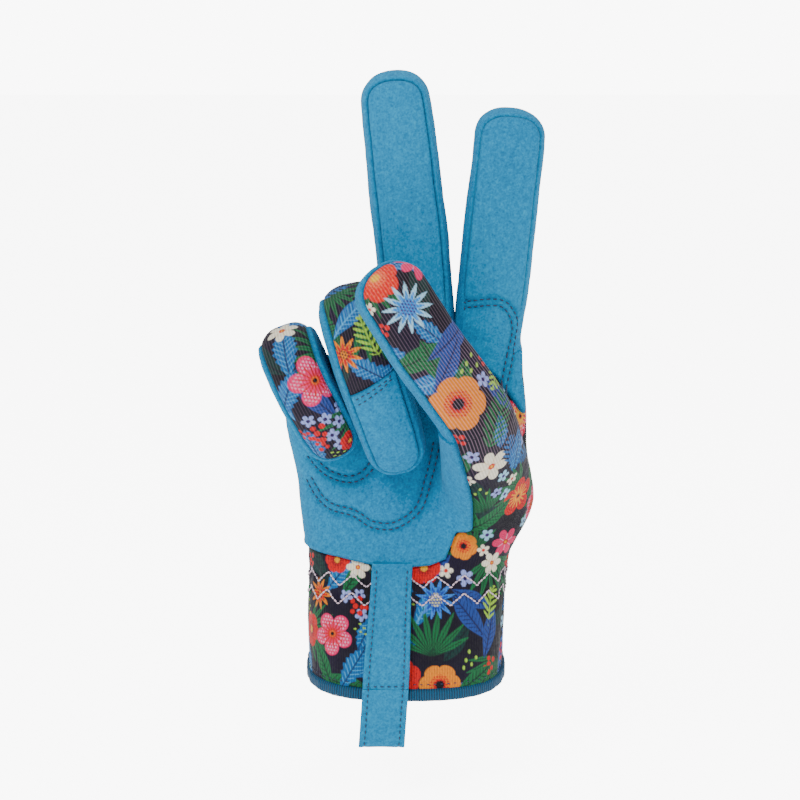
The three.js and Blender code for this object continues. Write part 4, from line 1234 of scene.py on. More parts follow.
class GloveCloth:
    """Cuts the glove's panels from the hand form and sews them."""

    SUEDE_EDGE = ((-44, 51.2), (-38.3, 50.8), (-26.9, 49.7), (-13.5, 47.2), (-0.2, 46.7), (7.4, 47.3), (13.8, 49.8), (16.9, 55.4))
    THUMB_SEAM = ((46, 12.5), (51.1, 13.8), (55.4, 15.7), (65.8, 19.4), (82.5, 18.4), (97.2, 13.4), (106.9, 10.7), (114.9, 7))
    INDEX_SEAM = ((10, 128), (25, 124), (33, 117), (38, 110), (42, 104), (48, 99))

    def __init__(self, form: HandForm, shop: Workshop) -> None:
        """Meshes the regions of the hand."""
        self.form, self.shop = form, shop
        self.panels: list[tuple[str, Finish, Cloth]] = []
        self.region: dict[str, Cloth] = {"hand": self.mesh_hand()}
        for digit in Digit:
            self.region[digit.value] = self.mesh_digit(digit)
        self.rows: dict[str, list[Array]] = {}

    def common(self, cloth: Cloth) -> None:
        """Stores the numbers every panel carries."""
        for name, values in zip(("nx", "ny", "nz"), cloth.normals().T):
            cloth.add(name, values)
        cloth.add("seam", np.zeros(len(cloth.data)))

    def round_trunk(self, p: Array) -> Array:
        """Distance round the hand from its right side, for the ribs of the knit."""
        place = self.form.trunk.place(p)
        angle = np.linspace(-math.pi, math.pi, 721)
        x = 42 * np.sign(np.cos(angle)) * np.abs(np.cos(angle)) ** (2 / 2.7)
        y = 20 * np.sign(np.sin(angle)) * np.abs(np.sin(angle)) ** (2 / 2.7)
        run = np.r_[0, np.cumsum(np.hypot(np.diff(x), np.diff(y)))]
        at = np.arctan2(np.sign(place.y) * np.abs(place.y) ** (2.7 / 2), np.sign(place.x) * np.abs(place.x) ** (2.7 / 2))
        return np.interp(at, angle, run)

    def mesh_hand(self) -> Cloth:
        """Meshes palm, cuff and thumb root, with the levels that cut them."""
        form = self.form
        cloth = cloth_of(form.hand_field, vec(-56, -64, -7), vec(56, 34, 132))
        self.common(cloth)
        p = cloth.points
        trunk, thumb = form.trunk.place(p), form.limbs[Digit.THUMB].place(p)
        joint = form.thumb_joint
        share = ramp(-3, 4, trunk.distance - thumb.distance)
        edge = 0.27 + 0.3 * thumb.x - 1.3 * (1 - ramp(joint - 20, joint - 5, thumb.s)) * ramp(0.3, -0.5, thumb.x)
        on_thumb = (edge - thumb.facing) * 12
        seam_z, seam_x = np.array(self.THUMB_SEAM).T
        top_x, top_z = np.array(self.INDEX_SEAM).T
        flat = np.maximum(np.interp(p[:, 2], seam_z, seam_x) - p[:, 0], (p[:, 2] - np.interp(p[:, 0], top_x, top_z)) * 0.8)
        edge_x, edge_z = np.array(self.SUEDE_EDGE).T
        below = p[:, 2] - np.interp(p[:, 0], edge_x, edge_z)
        cloth.add("printed", np.minimum(share * on_thumb + (1 - share) * flat, below))
        cloth.add("back", (-0.05 - 0.3 * trunk.x - trunk.y) * 20)
        cloth.add("height", trunk.s)
        cloth.add("on_thumb", 0.5 - share)
        wide = np.interp(thumb.s, form.limbs[Digit.THUMB].at, form.limbs[Digit.THUMB].sizes[:, 0])
        cloth.add("rib", share * (thumb.x * wide) + (1 - share) * self.round_trunk(p))
        cloth.add("stretch", share * 0.5 * ramp(joint - 26, joint, thumb.s))
        cloth.add("fade", np.ones(len(p)))
        cloth.add("thumb_s", np.where(thumb.distance < 9, thumb.s - joint, -10))
        cloth.add("rim", form.rim(p))
        cloth = cloth.halves(0.3 - cloth.column("height"), False)[0]
        cloth = cloth.halves(cloth.column("rim"), False)[0]
        return cloth.halves(cloth.column("thumb_s"), False)[0]

    def mesh_digit(self, digit: Digit) -> Cloth:
        """Meshes one digit, with the levels that cut it."""
        form, limb = self.form, self.form.limbs[digit]
        low, high = limb.line.min(0) - 17, limb.line.max(0) + 17
        if digit in (Digit.INDEX, Digit.MIDDLE):
            low[2] = 110
        cloth = cloth_of(form.digit_field(digit), low, high)
        self.common(cloth)
        p = cloth.points
        place = limb.place(p)
        cloth.add("s", place.s)
        cloth.add("across", place.x)
        cloth.add("facing", place.facing)
        cloth.add("rib", place.x * np.interp(place.s, limb.at, limb.sizes[:, 0]))
        thumb = digit is Digit.THUMB
        cloth.add("stretch", 0.5 - 0.28 * ramp(form.thumb_joint + 22, form.thumb_joint + 40, place.s) if thumb else np.full(len(p), 0.12))
        straight = digit in (Digit.INDEX, Digit.MIDDLE)
        fade = np.ones(len(p)) if thumb else ramp(14, 30, place.s) if straight else ramp(4, 12, place.s)
        cloth.add("fade", fade)
        if thumb:
            root = form.thumb_joint - place.s
        elif straight:
            root = -form.rim(p)
        else:
            root = np.where(place.s < form.turn_end[digit], -form.rim(p), -10)
        cloth.add("root", root)
        return cloth.halves(cloth.column("root"), False)[0]

    def sink(self, cloth: Cloth) -> Cloth:
        """Stores each vertex's distance to the panel's seams."""
        seam = cloth.column("seam") > 0.5
        cloth.add("to_seam", near_distance(cloth.points, cloth.points[seam]))
        return cloth

    def draw_rows(self) -> None:
        """Drops the palm's stitch rows on the cloth."""
        tree = tree_of([self.region["hand"], self.region["index"], self.region["middle"]])
        for line in PALM_LINES:
            middle = spline(np.array(line.path), 0.8)
            side = unit(np.gradient(middle, axis=0))[:, ::-1] * vec(-1, 1)
            for row in (-1, 1):
                made = []
                for x, z in middle + side * line.spread * row:
                    hit, normal, _, _ = tree.ray_cast(Vector((x, -120, z)), Vector((0, 1, 0)))
                    if hit is not None:
                        made.append(np.r_[hit, normal])
                self.rows.setdefault(line.name, []).append(np.array(made))

    def cut_panels(self) -> None:
        """Cuts every region into its panels."""
        hand = self.region["hand"]
        back, front = hand.halves(hand.column("back"), True)
        printed, suede = front.halves(front.column("printed"), True)
        back, printed, suede = self.sink(back), self.sink(printed), self.sink(suede)
        cuff, thumb_back = printed.halves(printed.column("height") - 46, False)
        cuff_back, back = back.halves(back.column("height") - 46, False)
        root, palm = suede.halves(suede.column("on_thumb"), False)
        for name, finish, cloth in (
            ("palm_panel", Finish.SUEDE, palm), ("thumb_root_palm", Finish.SUEDE, root), ("back_panel", Finish.PRINT, back),
            ("thumb_root_back", Finish.PRINT, thumb_back), ("cuff_front", Finish.PRINT, cuff), ("cuff_back", Finish.PRINT, cuff_back)):
            self.panels.append((name, finish, cloth))
        for digit in Digit:
            self.cut_digit(digit)

    def cut_digit(self, digit: Digit) -> None:
        """Cuts one digit into its panels and, at its joints, into segments."""
        cloth, limb = self.region[digit.value], self.form.limbs[digit]
        made: list[tuple[str, Finish, Cloth]] = []
        if digit is Digit.THUMB:
            level = (0.27 + 0.3 * cloth.column("across") - cloth.column("facing")) * 12
            back, front = cloth.halves(level, True)
            made = [("back", Finish.PRINT, self.sink(back)), ("front", Finish.SUEDE, self.sink(front))]
            splits = [(limb.marks[3] + limb.marks[4]) / 2]
        else:
            front, rest = cloth.halves(0.73 + cloth.column("facing"), True)
            back, sides = rest.halves({Digit.PINKY: 0.62, Digit.RING: 0.74}.get(digit, 0.7) - rest.column("facing"), True)
            if digit is not Digit.PINKY:
                edge = limb.length - (RING_CAP + RING_CAP_SLANT * back.column("across") if digit is Digit.RING else TIP_CAP)
                back, cap = back.halves(back.column("s") - edge, True)
                made.append(("tip_cap", Finish.SUEDE, self.sink(cap)))
            sides = self.sink(sides)
            left, right = sides.halves(sides.column("across"), False)
            made += [("back", Finish.PRINT, self.sink(back)), ("front", Finish.SUEDE, self.sink(front)),
                     ("left_side", Finish.SUEDE, left), ("right_side", Finish.SUEDE, right)]
            splits = [limb.marks[2] / 2] if digit not in self.form.turn_end else [limb.marks[1], limb.marks[9]]
        for side, finish, part in made:
            if side == "tip_cap":
                self.panels.append((f"{digit.value}_tip_cap", finish, part))
                continue
            names = ["lower", "upper"] if len(splits) == 1 else ["lower", "turn", "upper"]
            rest = part
            for name, at in zip(names, splits):
                here, rest = rest.halves(rest.column("s") - at, False)
                if len(here.tris):
                    self.panels.append((f"{digit.value}_{name}_{side}", finish, here))
            if len(rest.tris):
                self.panels.append((f"{digit.value}_{names[-1]}_{side}", finish, rest))

    def lift(self, finish: Finish) -> Callable[[Cloth], Array]:
        """How far a panel's cloth stands off the form: sunk at seams, rolled beside them, puffed between."""

        def stand(cloth: Cloth) -> Array:
            """Offset of each vertex, mm."""
            p, d = cloth.points, cloth.column("to_seam")
            fade = cloth.column("fade")
            up = 0.3 * ripple(p, 24, 3) + 0.1 * ripple(p, 7, 4)
            for at in (41.0, 34.5):
                near = np.exp(-(((p[:, 2] - at) / 2.6) ** 2))
                up += near * (0.4 * np.sin(self.round_trunk(p) * 2 * math.pi / 5.5 + at) - 0.5) if "height" in cloth.names else 0
            if finish is Finish.SUEDE:
                up += fade * (-0.6 * np.exp(-((d / 0.5) ** 2)) + 0.4 * np.exp(-(((d - 1.5) / 0.9) ** 2))) + 0.35
                if "sunk" in cloth.names:
                    up += 0.35 - 0.75 * np.exp(-((cloth.column("sunk") / 1.1) ** 2)) + 0.5 * ramp(0, 9, cloth.column("sunk"))
            else:
                up += fade * (-0.45 * np.exp(-((d / 0.6) ** 2)) + 0.35 * ramp(0, 6, d))
            return up

        return stand

    def motion(self, name: str) -> tuple[str, str | None, Array | None, Array | None]:
        """The bodies a panel moves with.

        Args:
            name: panel name.
        Returns:
            First body, second body where it bends between two, and where the bend starts and ends in mm.
        """
        word = name.split("_")[0]
        digit = next((d for d in Digit if d.value == word), None)
        if digit is None or name.startswith("thumb_root"):
            return "hand", None, None, None
        limb, part = self.form.limbs[digit], name.split("_")[1]
        if part == "tip":
            return f"{word}_upper", None, None, None

        def at(s: float) -> Array:
            """Point of the centre line."""
            return np.array([np.interp(s, limb.at, limb.line[:, i]) for i in range(3)])

        curled_digit = digit in self.form.turn_end
        if part == "lower":
            start = self.form.thumb_joint if digit is Digit.THUMB else 0.0
            return "hand", f"{word}_lower", at(start), at(start + 10)
        if part == "turn":
            middle = (at(limb.marks[1]) + at(limb.marks[9])) / 2
            return f"{word}_lower", f"{word}_upper", middle + vec(0, 8, 0), middle - vec(0, 8, 0)
        if curled_digit:
            return f"{word}_upper", None, None, None
        bend = float(limb.marks[4] if digit is Digit.THUMB else limb.marks[2])
        return f"{word}_lower", f"{word}_upper", at(bend - 8), at(bend + 8)

    def sew(self) -> None:
        """Paints, thickens and places every panel."""
        targets = np.vstack([row[:, :3] for rows in self.rows.values() for row in rows])
        painter = PrintPainter()
        tree = tree_of(list(self.region.values()))

        def cast(x: float, z: float) -> tuple[Array, Array] | None:
            """Surface met from the palm side."""
            hit, normal, _, _ = tree.ray_cast(Vector((x, -150, z)), Vector((0, 1, 0)))
            return None if hit is None else (np.array(hit), np.array(normal))

        painter.place_heroes(cast)
        printed = [c for _, f, c in self.panels if f is Finish.PRINT]
        samples = np.vstack([c.points for c in printed])
        normals = np.vstack([np.stack([c.column(n) for n in ("nx", "ny", "nz")], 1) for c in printed])
        painter.scatter(samples, normals)
        LOG.info("print has %d motifs", len(painter.placed))
        self.outer: list[Cloth] = []
        for name, finish, cloth in self.panels:
            if finish is Finish.SUEDE and name in ("palm_panel", "thumb_root_palm", "index_lower_front", "index_upper_front"):
                cloth.add("sunk", near_distance(cloth.points, targets))
            thickness = 1.2 if finish is Finish.SUEDE else 1.0
            points, tris, outer = closed_shell(cloth, finish, thickness, self.lift(finish))
            count, extra = len(outer.data), len(points) - len(outer.data)
            numbers = {}
            if finish is Finish.PRINT:
                nrm = unit(np.stack([outer.column(n) for n in ("nx", "ny", "nz")], 1))
                colours = painter.paint(outer.points, nrm)
                inside = np.tile(np.array(linear("#5a5468")), (extra, 1))
                numbers["print"] = np.vstack([colours, inside])
                numbers["rib"] = np.r_[outer.column("rib"), np.zeros(extra)]
                numbers["stretch"] = np.r_[outer.column("stretch"), np.zeros(extra)]
            else:
                # painted shade: suede darkened in its sunk seam grooves and, more faintly, along the palm's sunk stitch
                # rows
                d = np.exp(-((outer.column("to_seam") / 0.45) ** 2)) * outer.column("fade") * 0.55
                if "sunk" in outer.names:
                    d = np.maximum(d, 0.3 * np.exp(-((outer.column("sunk") / 1.2) ** 2)))
                numbers["worn"] = np.r_[d, np.zeros(extra)]
            made = self.shop.piece(name, points, tris, finish, numbers)
            first, second, start, end = self.motion(name)
            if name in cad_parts:
                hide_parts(name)
            if second is None:
                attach(made, first)
            else:
                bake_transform(made)
            self.shop.report(made, first if second is None else f"{first} to {second}")
            self.outer.append(Cloth(points[:count], outer.tris))


# ---------------------------------------------------------------- tapes, tab and pads
def rounded_bar(width: float, height: float, corner: float, steps: int = 4) -> Array:
    """Outline of a bar with rounded corners, counter-clockwise."""
    out = []
    for i, (sx, sy) in enumerate(((1, 1), (-1, 1), (-1, -1), (1, -1))):
        for a in np.radians(np.linspace(0, 90, steps) + 90 * i):
            out.append((sx * (width / 2 - corner) + corner * math.cos(a), sy * (height / 2 - corner) + corner * math.sin(a)))
    return np.array(out)


def sweep(path: Array, wide: Array, thick: Array, outline: Array, ring: bool, name: str, shop: Workshop, finish: Finish,
    bulge: Callable[[Array, Array], Array] | None = None) -> bpy.types.Object:
    """Sweeps an outline along a path.

    Args:
        path: (n, 3) points, mm. wide, thick: unit vectors of the outline's two axes at each point.
        outline: (m, 2) closed outline. ring: whether the path closes on itself.
        name: piece name. shop: workshop. finish: its finish.
        bulge: offset along thick from run and outline position.
    Returns:
        The object.
    """
    n, m = len(path), len(outline)
    run = np.r_[0, np.cumsum(np.linalg.norm(np.diff(path, axis=0), axis=1))]
    w, t = outline[:, 0][None, :, None], outline[:, 1][None, :, None]
    points = path[:, None] + wide[:, None] * w + thick[:, None] * t
    if bulge is not None:
        points += thick[:, None] * bulge(run[:, None], outline[None, :, 0])[..., None]
    i, j = np.meshgrid(np.arange(n if ring else n - 1), np.arange(m), indexing="ij")
    a, b = i * m + j, i * m + (j + 1) % m
    c, d = ((i + 1) % n) * m + (j + 1) % m, ((i + 1) % n) * m + j
    quads = np.stack([a, b, c, d], -1).reshape(-1, 4)
    tris = np.vstack([quads[:, [0, 1, 2]], quads[:, [0, 2, 3]]])
    rib = np.repeat(run, m)
    points = points.reshape(-1, 3)
    if not ring:
        first, last = points[:m].mean(0), points[-m:].mean(0)
        points = np.vstack([points, first, last])
        rib = np.r_[rib, 0, run[-1]]
        k = np.arange(m)
        tris = np.vstack([tris, np.stack([np.full(m, n * m), (k + 1) % m, k], 1),
            np.stack([np.full(m, n * m + 1), (n - 1) * m + k, (n - 1) * m + (k + 1) % m], 1)])
    p = points[tris]
    if np.einsum("ij,ij->", p[:, 0], np.cross(p[:, 1], p[:, 2])) < 0:
        tris = tris[:, ::-1]
    return shop.piece(name, points, tris, finish, {"rib": rib, "worn": np.zeros(len(points))})


@dataclass
class Bands:
    """The hem's binding tape and the two wrist elastics."""

    form: HandForm
    shop: Workshop
    height: float = 5.0
    thickness: float = 3.2
    elastic_width: float = 4.0

    def build(self) -> None:
        """Makes the tape and the elastics."""
        self.ring("hem_binding", self.height / 2 - 0.7, -0.35, rounded_bar(self.height, self.thickness, 1.3), Finish.TAPE)
        for name, at in (("wrist_elastic_upper", 42.0), ("wrist_elastic_lower", 33.0)):
            self.ring(name, at, -2.1, rounded_bar(self.elastic_width, 0.9, 0.3), Finish.ELASTIC)

    def ring(self, name: str, height: float, out: float, outline: Array, finish: Finish) -> None:
        """Makes one band round the cuff."""
        path = spline(np.vstack([self.form.trunk.ring(height, out, 120)] * 1 + [self.form.trunk.ring(height, out, 120)[:1]]), 0.6)[:-1]
        along = unit(np.roll(path, -1, 0) - np.roll(path, 1, 0))
        above = self.form.trunk.ring(height + 2, out, 360)
        near = np.array([above[((above - p) ** 2).sum(1).argmin()] for p in path])
        up = unit(near - path)
        up = unit(up - (up * along).sum(1, keepdims=True) * along)
        made = sweep(path, up, np.cross(along, up), outline, True, name, self.shop, finish, lambda run,
            across: 0.12 * np.sin(run * 0.9) + 0.06 * np.sin(run * 2.3 + across))
        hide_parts(name)
        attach(made, "hand")
        self.shop.report(made, "hand")


@dataclass
class PullTab:
    """The folded suede tab that pulls the glove on: a strip sewn to the cuff and a free loop."""

    form: HandForm
    shop: Workshop
    width: float = 17.5
    layer: float = 1.1
    place: float = -8.8
    row: float = 1.5
    drop: float = 22.4
    stitches: list[Array] = field(default_factory=list)
    loop_stitches: list[Array] = field(default_factory=list)

    def front(self, z: float, out: float) -> Array:
        """A point in front of the cuff's cloth."""
        size = self.form.trunk.sizes(np.array([min(z, 52.0)]))[0]
        return vec(self.place + 0.055 * (z - 14), -size[3] - out, z)

    def build(self) -> None:
        """Makes strip and loop and lays out their stitch rows."""
        heights = [48.2, 44, 38, 28, 18, 10, 1.6]
        path = spline(np.array([self.front(z, 2.35 - (0.9 if z > 47 else 0)) for z in heights]), 0.7)
        self.ribbon("pull_tab_strip", path, 2 * self.layer, "hand")
        inner = self.width / 2 - 2.2
        for x in (-inner, inner):
            row = path[4:] + vec(0, -1.4, 0)
            row[:, 0] += x * (1 - 0.12 * ramp(4, 44, row[:, 2]))
            self.stitches.append(row)
        low = path[-1]
        across = np.linspace(-inner, inner, 30)
        self.stitches.append(np.stack([low[0] + across, np.full(30, low[1] - 1.45), np.full(30, low[2] + 1.2)], 1))
        y, fold, radius, gap = path[-1][1], self.row - self.drop, 2.05, 0.72
        points = [(-gap, 1.55), (-gap, -6.7), (-radius, fold + 4.6)]
        points += [(-radius * math.cos(a), fold + radius * (1 - math.sin(a))) for a in np.radians([0, 45, 90, 135, 180])]
        points += [(radius, fold + 4.6), (gap, -6.7), (gap, 1.55)]
        loop = spline(np.array([[low[0] + 0.07 * (z - 1.5), y + dy, z] for dy, z in points]), 0.6)
        self.ribbon("pull_tab_loop", loop, self.layer, "tab_loop")
        half = loop[: len(loop) * 45 // 100]
        for x in (-inner, inner):
            self.loop_stitches.append(half[4:] + vec(x, -0.72, 0))

    def ribbon(self, name: str, path: Array, thickness: float, body: str) -> None:
        """Makes one length of the tab."""
        along = unit(np.gradient(path, axis=0))
        wide = np.tile(vec(1, 0, 0), (len(path), 1)) * (1 - 0.12 * ramp(4, 44, path[:, 2]))[:, None]
        outline = rounded_bar(self.width, thickness, thickness * 0.42, 5)
        cross = np.linspace(-self.width / 2 + 1, self.width / 2 - 1, 26)
        outline = np.vstack([[(x, -thickness / 2) for x in cross],
            outline[(outline[:, 0] > self.width / 2 - 1)][np.argsort(np.arctan2(outline[outline[:, 0] > self.width / 2 - 1][:, 1], 1))],
                             [(x, thickness / 2) for x in cross[::-1]],
                                 outline[(outline[:,
                                     0] < 1 - self.width / 2)][np.argsort(-np.arctan2(outline[outline[:,
                                         0] < 1 - self.width / 2][:, 1], 1))]])

        def bulge(run: Array, across: Array) -> Array:
            """Dips at the stitch rows and a soft unevenness."""
            rows = np.exp(-(((np.abs(across) - self.width / 2 + 2.2) / 0.6) ** 2))
            return 0.16 * rows + 0.12 * np.sin(run * 0.35 + across * 0.3)

        made = sweep(path, wide, np.cross(wide, along), outline, False, name, self.shop, Finish.SUEDE, bulge)
        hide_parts(name)
        if body == "hand":
            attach(made, body)
        else:
            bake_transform(made)
        self.shop.report(made, body)

    def bend(self, top: Array) -> tuple[tuple, tuple]:
        """Where the loop's cloth starts and ends its bend, in metres."""
        return tuple(top * MM), tuple((top - vec(0, 0, 6)) * MM)


@dataclass
class HiddenLayers:
    """The foam pads and the lining between palm cloth and hand."""

    cloth: GloveCloth
    shop: Workshop

    def build(self) -> None:
        """Makes the three pads and the lining under the palm's suede."""
        palm = next(c for n, _, c in self.cloth.panels if n == "palm_panel")
        for name, depth, thick, finish in (
            ("palm_pad_foam", 1.6, 1.8, Finish.FOAM), ("little_finger_pad_foam", 1.6, 1.8, Finish.FOAM),
            ("index_pad_foam", 1.6, 1.8, Finish.FOAM), ("palm_lining", 3.7, 0.6, Finish.LINING)):
            low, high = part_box(name)
            middle, half = (np.array(low) + np.array(high)) / 2 / MM, (np.array(high) - np.array(low)) / 2 / MM - 0.5
            u = np.abs((palm.points[:, 0] - middle[0]) / half[0])
            v = np.abs((palm.points[:, 2] - middle[2]) / half[2])
            level = (u**3 + v**3) ** (1 / 3) - 1
            patch = palm.halves(level * 15, True)[0]
            if not len(patch.tris):
                continue
            patch = self.cloth.sink(Cloth(patch.data[:, :7], patch.tris, patch.names[:7]))
            normal = unit(np.stack([patch.column(c) for c in ("nx", "ny", "nz")], 1))
            edge = ramp(0, 2.2, patch.column("to_seam"))[:, None]
            top = patch.points - normal * (depth + 0.3 * thick * (1 - edge))
            under = patch.points - normal * (depth + thick * (0.6 + 0.4 * edge))
            n, rim = len(top), patch.rim_edges()
            a, b = rim.T
            strip = np.vstack([np.stack([b, a, a + n], 1), np.stack([b, a + n, b + n], 1)])
            made = self.shop.piece(name, np.vstack([top, under]), np.vstack([patch.tris, patch.tris[:, ::-1] + n, strip]), finish)
            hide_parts(name)
            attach(made, "hand")
            self.shop.report(made, "hand")


# ---------------------------------------------------------------- stitches
@dataclass
class StitchRows:
    """Machine stitches laid along paths by Geometry Nodes."""

    shop: Workshop

    def tree(self) -> bpy.types.NodeTree:
        """Builds the stitch tree: resample the paths, set one rounded stitch on each point."""
        tree = bpy.data.node_groups.new("machine_stitches", "GeometryNodeTree")
        face = tree.interface
        face.new_socket("Geometry", in_out="INPUT", socket_type="NodeSocketGeometry")
        for label, default in (("Pitch", 0.0024), ("Length", 0.0016), ("Thread", 0.0005)):
            face.new_socket(label, in_out="INPUT", socket_type="NodeSocketFloat").default_value = default
        face.new_socket("Thread Material", in_out="INPUT", socket_type="NodeSocketMaterial")
        face.new_socket("Geometry", in_out="OUTPUT", socket_type="NodeSocketGeometry")
        given = node(tree, "NodeGroupInput").outputs
        curve = node(tree, "GeometryNodeMeshToCurve", {"Mesh": given["Geometry"]})
        points = node(tree, "GeometryNodeCurveToPoints", {"Curve": curve.outputs[0], "Length": given["Pitch"]}, mode="LENGTH")
        stitch = node(tree, "GeometryNodeMeshUVSphere", {"Segments": 6, "Rings": 5, "Radius": 0.5})
        size = node(tree, "ShaderNodeCombineXYZ", {"X": given["Thread"], "Y": given["Thread"], "Z": given["Length"]})
        shaped = node(tree, "GeometryNodeTransform", {"Geometry": stitch.outputs[0], "Scale": size.outputs[0]})
        smooth = node(tree, "GeometryNodeSetShadeSmooth", {"Geometry": shaped.outputs[0]})
        spots = node(tree, "GeometryNodeInstanceOnPoints",
            {"Points": points.outputs["Points"], "Instance": smooth.outputs[0], "Rotation": points.outputs["Rotation"]})
        real = node(tree, "GeometryNodeRealizeInstances", {"Geometry": spots.outputs[0]})
        dressed = node(tree, "GeometryNodeSetMaterial", {"Geometry": real.outputs[0], "Material": given["Thread Material"]})
        node(tree, "NodeGroupOutput", {"Geometry": dressed.outputs[0]})
        return tree

    def build(self, name: str, paths: Sequence[Array], material: bpy.types.Material, slot: Finish, pitch: float, length: float,
        thread: float, motion: tuple) -> None:
        """Makes one piece of stitching.

        Args:
            name: piece name. paths: polylines in mm. material: the thread.
            slot: not used. pitch, length, thread: sizes in mm.
            motion: bodies and bend as from GloveCloth.motion.
        """
        points, edges, base = [], [], 0
        for path in paths:
            points.append(path)
            edges += [(base + i, base + i + 1) for i in range(len(path) - 1)]
            base += len(path)
        mesh = bpy.data.meshes.new(name + "_paths")
        mesh.from_pydata((np.vstack(points) * MM).tolist(), edges, [])
        guide = bpy.data.objects.new(name + "_paths", mesh)
        bpy.context.scene.collection.objects.link(guide)
        modifier = guide.modifiers.new("stitches", "NODES")
        tree = bpy.data.node_groups.get("machine_stitches") or self.tree()
        modifier.node_group = tree
        sockets = {s.name: s.identifier for s in tree.interface.items_tree if s.in_out == "INPUT"}
        for label, value in (("Pitch", pitch * MM), ("Length", length * MM), ("Thread", thread * MM), ("Thread Material", material)):
            modifier[sockets[label]] = value
        bpy.context.view_layer.update()
        result = bpy.data.meshes.new_from_object(guide.evaluated_get(bpy.context.evaluated_depsgraph_get()))
        bpy.data.objects.remove(guide)
        result.name = name
        made = bpy.data.objects.new(name, result)
        bpy.context.scene.collection.objects.link(made)
        first, second, start, end = motion
        if second is None:
            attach(made, first)
        else:
            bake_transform(made)
        self.shop.report(made, first)


def zigzag(form: HandForm, tree: BVHTree, height: float) -> Array:
    """A zigzag row round the cuff.

    Args:
        form: the hand form. tree: the cuff's cloth. height: of the row's middle, mm.
    Returns:
        Points on the cloth.
    """
    ring = form.trunk.ring(height, 0.6, 720)
    run = np.r_[0, np.cumsum(np.linalg.norm(np.diff(np.vstack([ring, ring[:1]]), axis=0), axis=1))]
    count = round(run[-1] / 11)
    at = np.linspace(0, run[-1], count * 16 + 1)
    base = np.stack([np.interp(at, run, np.r_[ring[:, i], ring[0, i]]) for i in range(3)], 1)
    phase = (at / run[-1] * count) % 1
    base[:, 2] += 4.4 * (np.abs(phase - 0.5) * 2 - 0.5)
    out = []
    for p in base:
        hit, normal, _, _ = tree.find_nearest(Vector(p))
        out.append(np.array(hit) + np.array(normal) * 0.18)
    return np.array(out)


def sew_stitches(form: HandForm, cloth: GloveCloth, tab: PullTab, shop: Workshop) -> None:
    """Adds every row of visible stitching."""
    rows = StitchRows(shop)
    still = ("hand", None, None, None)
    names = [n for n, _, _ in cloth.panels]
    palm = tree_of([c for n,
        c in zip(names, cloth.outer) if n in ("palm_panel", "thumb_root_palm", "index_lower_front", "index_upper_front",
            "middle_lower_front")])
    cuff = tree_of([c for n, c in zip(names, cloth.outer) if n in ("cuff_front", "cuff_back", "back_panel", "thumb_root_back")])

    def settled(tree: BVHTree, row: Array, out: float) -> Array:
        """Row points moved onto the finished cloth."""
        made = []
        for p in row:
            hit, normal, _, _ = tree.find_nearest(Vector(p[:3]))
            made.append(np.array(hit) + np.array(normal) * out)
        return np.array(made)

    hand_rows, index_rows = [], []
    for name, pair in cloth.rows.items():
        for row in pair:
            where = settled(palm, row, 0.12)
            above = form.rim(where) > 0.2
            if name == "index_pad" and above.any():
                index_rows.append(where[above])
                where = where[~above]
            if len(where) > 2:
                hand_rows.append(where)
    rows.build("palm_stitching", hand_rows, shop.dark_thread, Finish.SUEDE, 2.5, 1.7, 0.62, still)
    rows.build("index_pad_stitching", index_rows, shop.dark_thread, Finish.SUEDE, 2.5, 1.7, 0.62, cloth.motion("index_lower_front"))
    rows.build("pull_tab_stitching", tab.stitches, shop.dark_thread, Finish.SUEDE, 2.2, 1.5, 0.5, still)
    rows.build("pull_tab_loop_stitching", tab.loop_stitches, shop.dark_thread, Finish.SUEDE, 2.2, 1.5, 0.5,
        ("hand", "tab_loop", vec(tab.place, -34.5, 1.55), vec(tab.place, -34.5, -4.45)))
    rows.build("elastic_zigzag_stitching", [zigzag(form, cuff, 41.2), zigzag(form, cuff, 34.4)], shop.pale_thread, Finish.ELASTIC, 1.55,
        1.5, 0.72, still)
    hem = settled(cuff, form.trunk.ring(5.6, 0.3, 400), 0.15)
    rows.build("hem_stitching", [np.vstack([hem, hem[:1]])], shop.dark_thread, Finish.TAPE, 2.6, 1.1, 0.4, still)
    limb = form.limbs[Digit.RING]
    cap = tree_of([c for n, c in zip(names, cloth.outer) if n.startswith("ring_")])
    cap_rows = []
    x = np.linspace(-7.6, 7.6, 40)
    for end in RING_CAP_ROWS:
        middle, right, back = (np.stack([np.interp(limb.length - end - 0.35 * x, limb.at, of[:, i]) for i in range(3)], axis=1)
                               for of in (limb.line, limb.right, limb.back))
        cap_rows.append(settled(cap, middle + right * x[:, None] + back * 12, 0.12))
    rows.build("ring_cap_stitching", cap_rows, shop.dark_thread, Finish.SUEDE, 2.4, 1.6, 0.55, ("ring_upper", None, None, None))


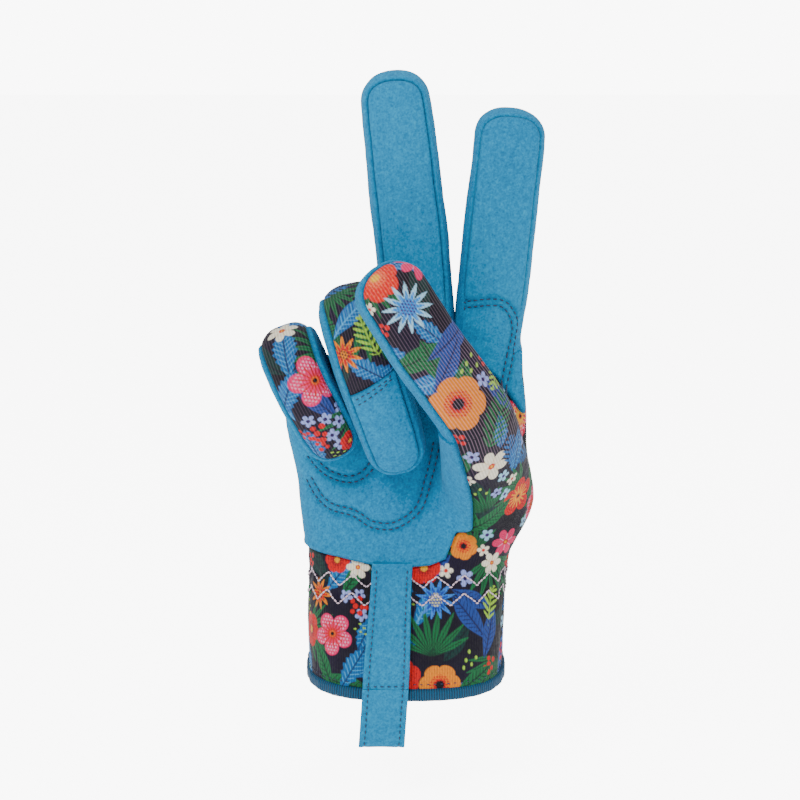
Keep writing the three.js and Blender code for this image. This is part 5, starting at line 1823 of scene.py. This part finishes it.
# ---------------------------------------------------------------- stage
@dataclass
class Studio:
    """Pale floor, soft lights and the camera."""

    distance: float = 0.9
    elevation: float = 10.0
    target: tuple[float, float, float] = (-0.004, 0.0, 0.107)
    floor_height: float = -0.043

    def build(self) -> None:
        """Sets up the stage."""
        made, tree, shader = new_material("matt_paper_backdrop")
        place = node(tree, "ShaderNodeTexCoord").outputs["Object"]
        fibre = node(tree, "ShaderNodeTexNoise", {"Vector": place, "Scale": 900.0, "Detail": 2.0})
        tint = node(tree, "ShaderNodeMix", {0: fibre.outputs[0], 6: linear("#f6f6f6"), 7: linear("#fbfbfb")}, data_type="RGBA")
        tree.links.new(tint.outputs[2], shader.inputs["Base Color"])
        shader.inputs["Roughness"].default_value = 0.9
        shader.inputs["Specular IOR Level"].default_value = 0.1
        shader.inputs["Emission Color"].default_value = (1, 1, 1, 1)
        seen = node(tree, "ShaderNodeLightPath").outputs["Is Camera Ray"]
        lift = node(tree, "ShaderNodeMapRange", {0: seen, 3: 0.9, 4: 7.6})
        tree.links.new(lift.outputs[0], shader.inputs["Emission Strength"])
        mesh = bpy.data.meshes.new("floor")
        s, z = 6.0, self.floor_height
        mesh.from_pydata([(-s, -s, z), (s, -s, z), (s, s, z), (-s, s, z)], [], [(0, 1, 2, 3)])
        mesh.materials.append(made)
        floor = bpy.data.objects.new("floor", mesh)
        bpy.context.scene.collection.objects.link(floor)
        world = bpy.data.worlds.new("soft_white_studio")
        world.use_nodes = True
        sky = world.node_tree
        sight = node(sky, "ShaderNodeLightPath").outputs["Is Camera Ray"]
        glow = node(sky, "ShaderNodeMapRange", {0: sight, 3: 0.7, 4: 9.0})
        sky.nodes["Background"].inputs[0].default_value = (1, 1, 1, 1)
        sky.links.new(glow.outputs[0], sky.nodes["Background"].inputs[1])
        bpy.context.scene.world = world
        for name, at, power, size in (("key", (-0.45, -0.7, 0.85), 8.4, 0.4), ("fill", (0.75, -0.5, 0.3), 1.6, 0.6),
            ("top", (0.1, 0.15, 0.95), 3.8, 0.6)):
            light = bpy.data.lights.new(name, "AREA")
            light.energy, light.size = power, size
            lamp = bpy.data.objects.new(name, light)
            lamp.location = at
            lamp.rotation_euler = (Vector(self.target) - Vector(at)).to_track_quat("-Z", "Y").to_euler()
            bpy.context.scene.collection.objects.link(lamp)
        lens = bpy.data.cameras.new("camera")
        lens.lens, lens.sensor_width = 105, 36
        camera = bpy.data.objects.new("camera", lens)
        rise = math.radians(self.elevation)
        camera.location = Vector(self.target) + Vector((0, -math.cos(rise), math.sin(rise))) * self.distance
        camera.rotation_euler = (math.radians(90 - self.elevation), 0, 0)
        bpy.context.scene.collection.objects.link(camera)
        bpy.context.scene.camera = camera


def main() -> None:
    """Builds the glove, piece by piece, and its stage."""
    logging.basicConfig(level=logging.INFO, format="%(message)s")
    Studio().build()
    shop = Workshop()
    form = HandForm()
    cloth = GloveCloth(form, shop)
    cloth.draw_rows()
    cloth.cut_panels()
    cloth.sew()
    Bands(form, shop).build()
    tab = PullTab(form, shop)
    tab.build()
    HiddenLayers(cloth, shop).build()
    sew_stitches(form, cloth, tab, shop)
    for name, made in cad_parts.items():
        if not made.hide_render:
            LOG.warning("node %s still shows", name)
    bpy.context.view_layer.update()
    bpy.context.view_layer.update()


if __name__ == "__main__":
    main()
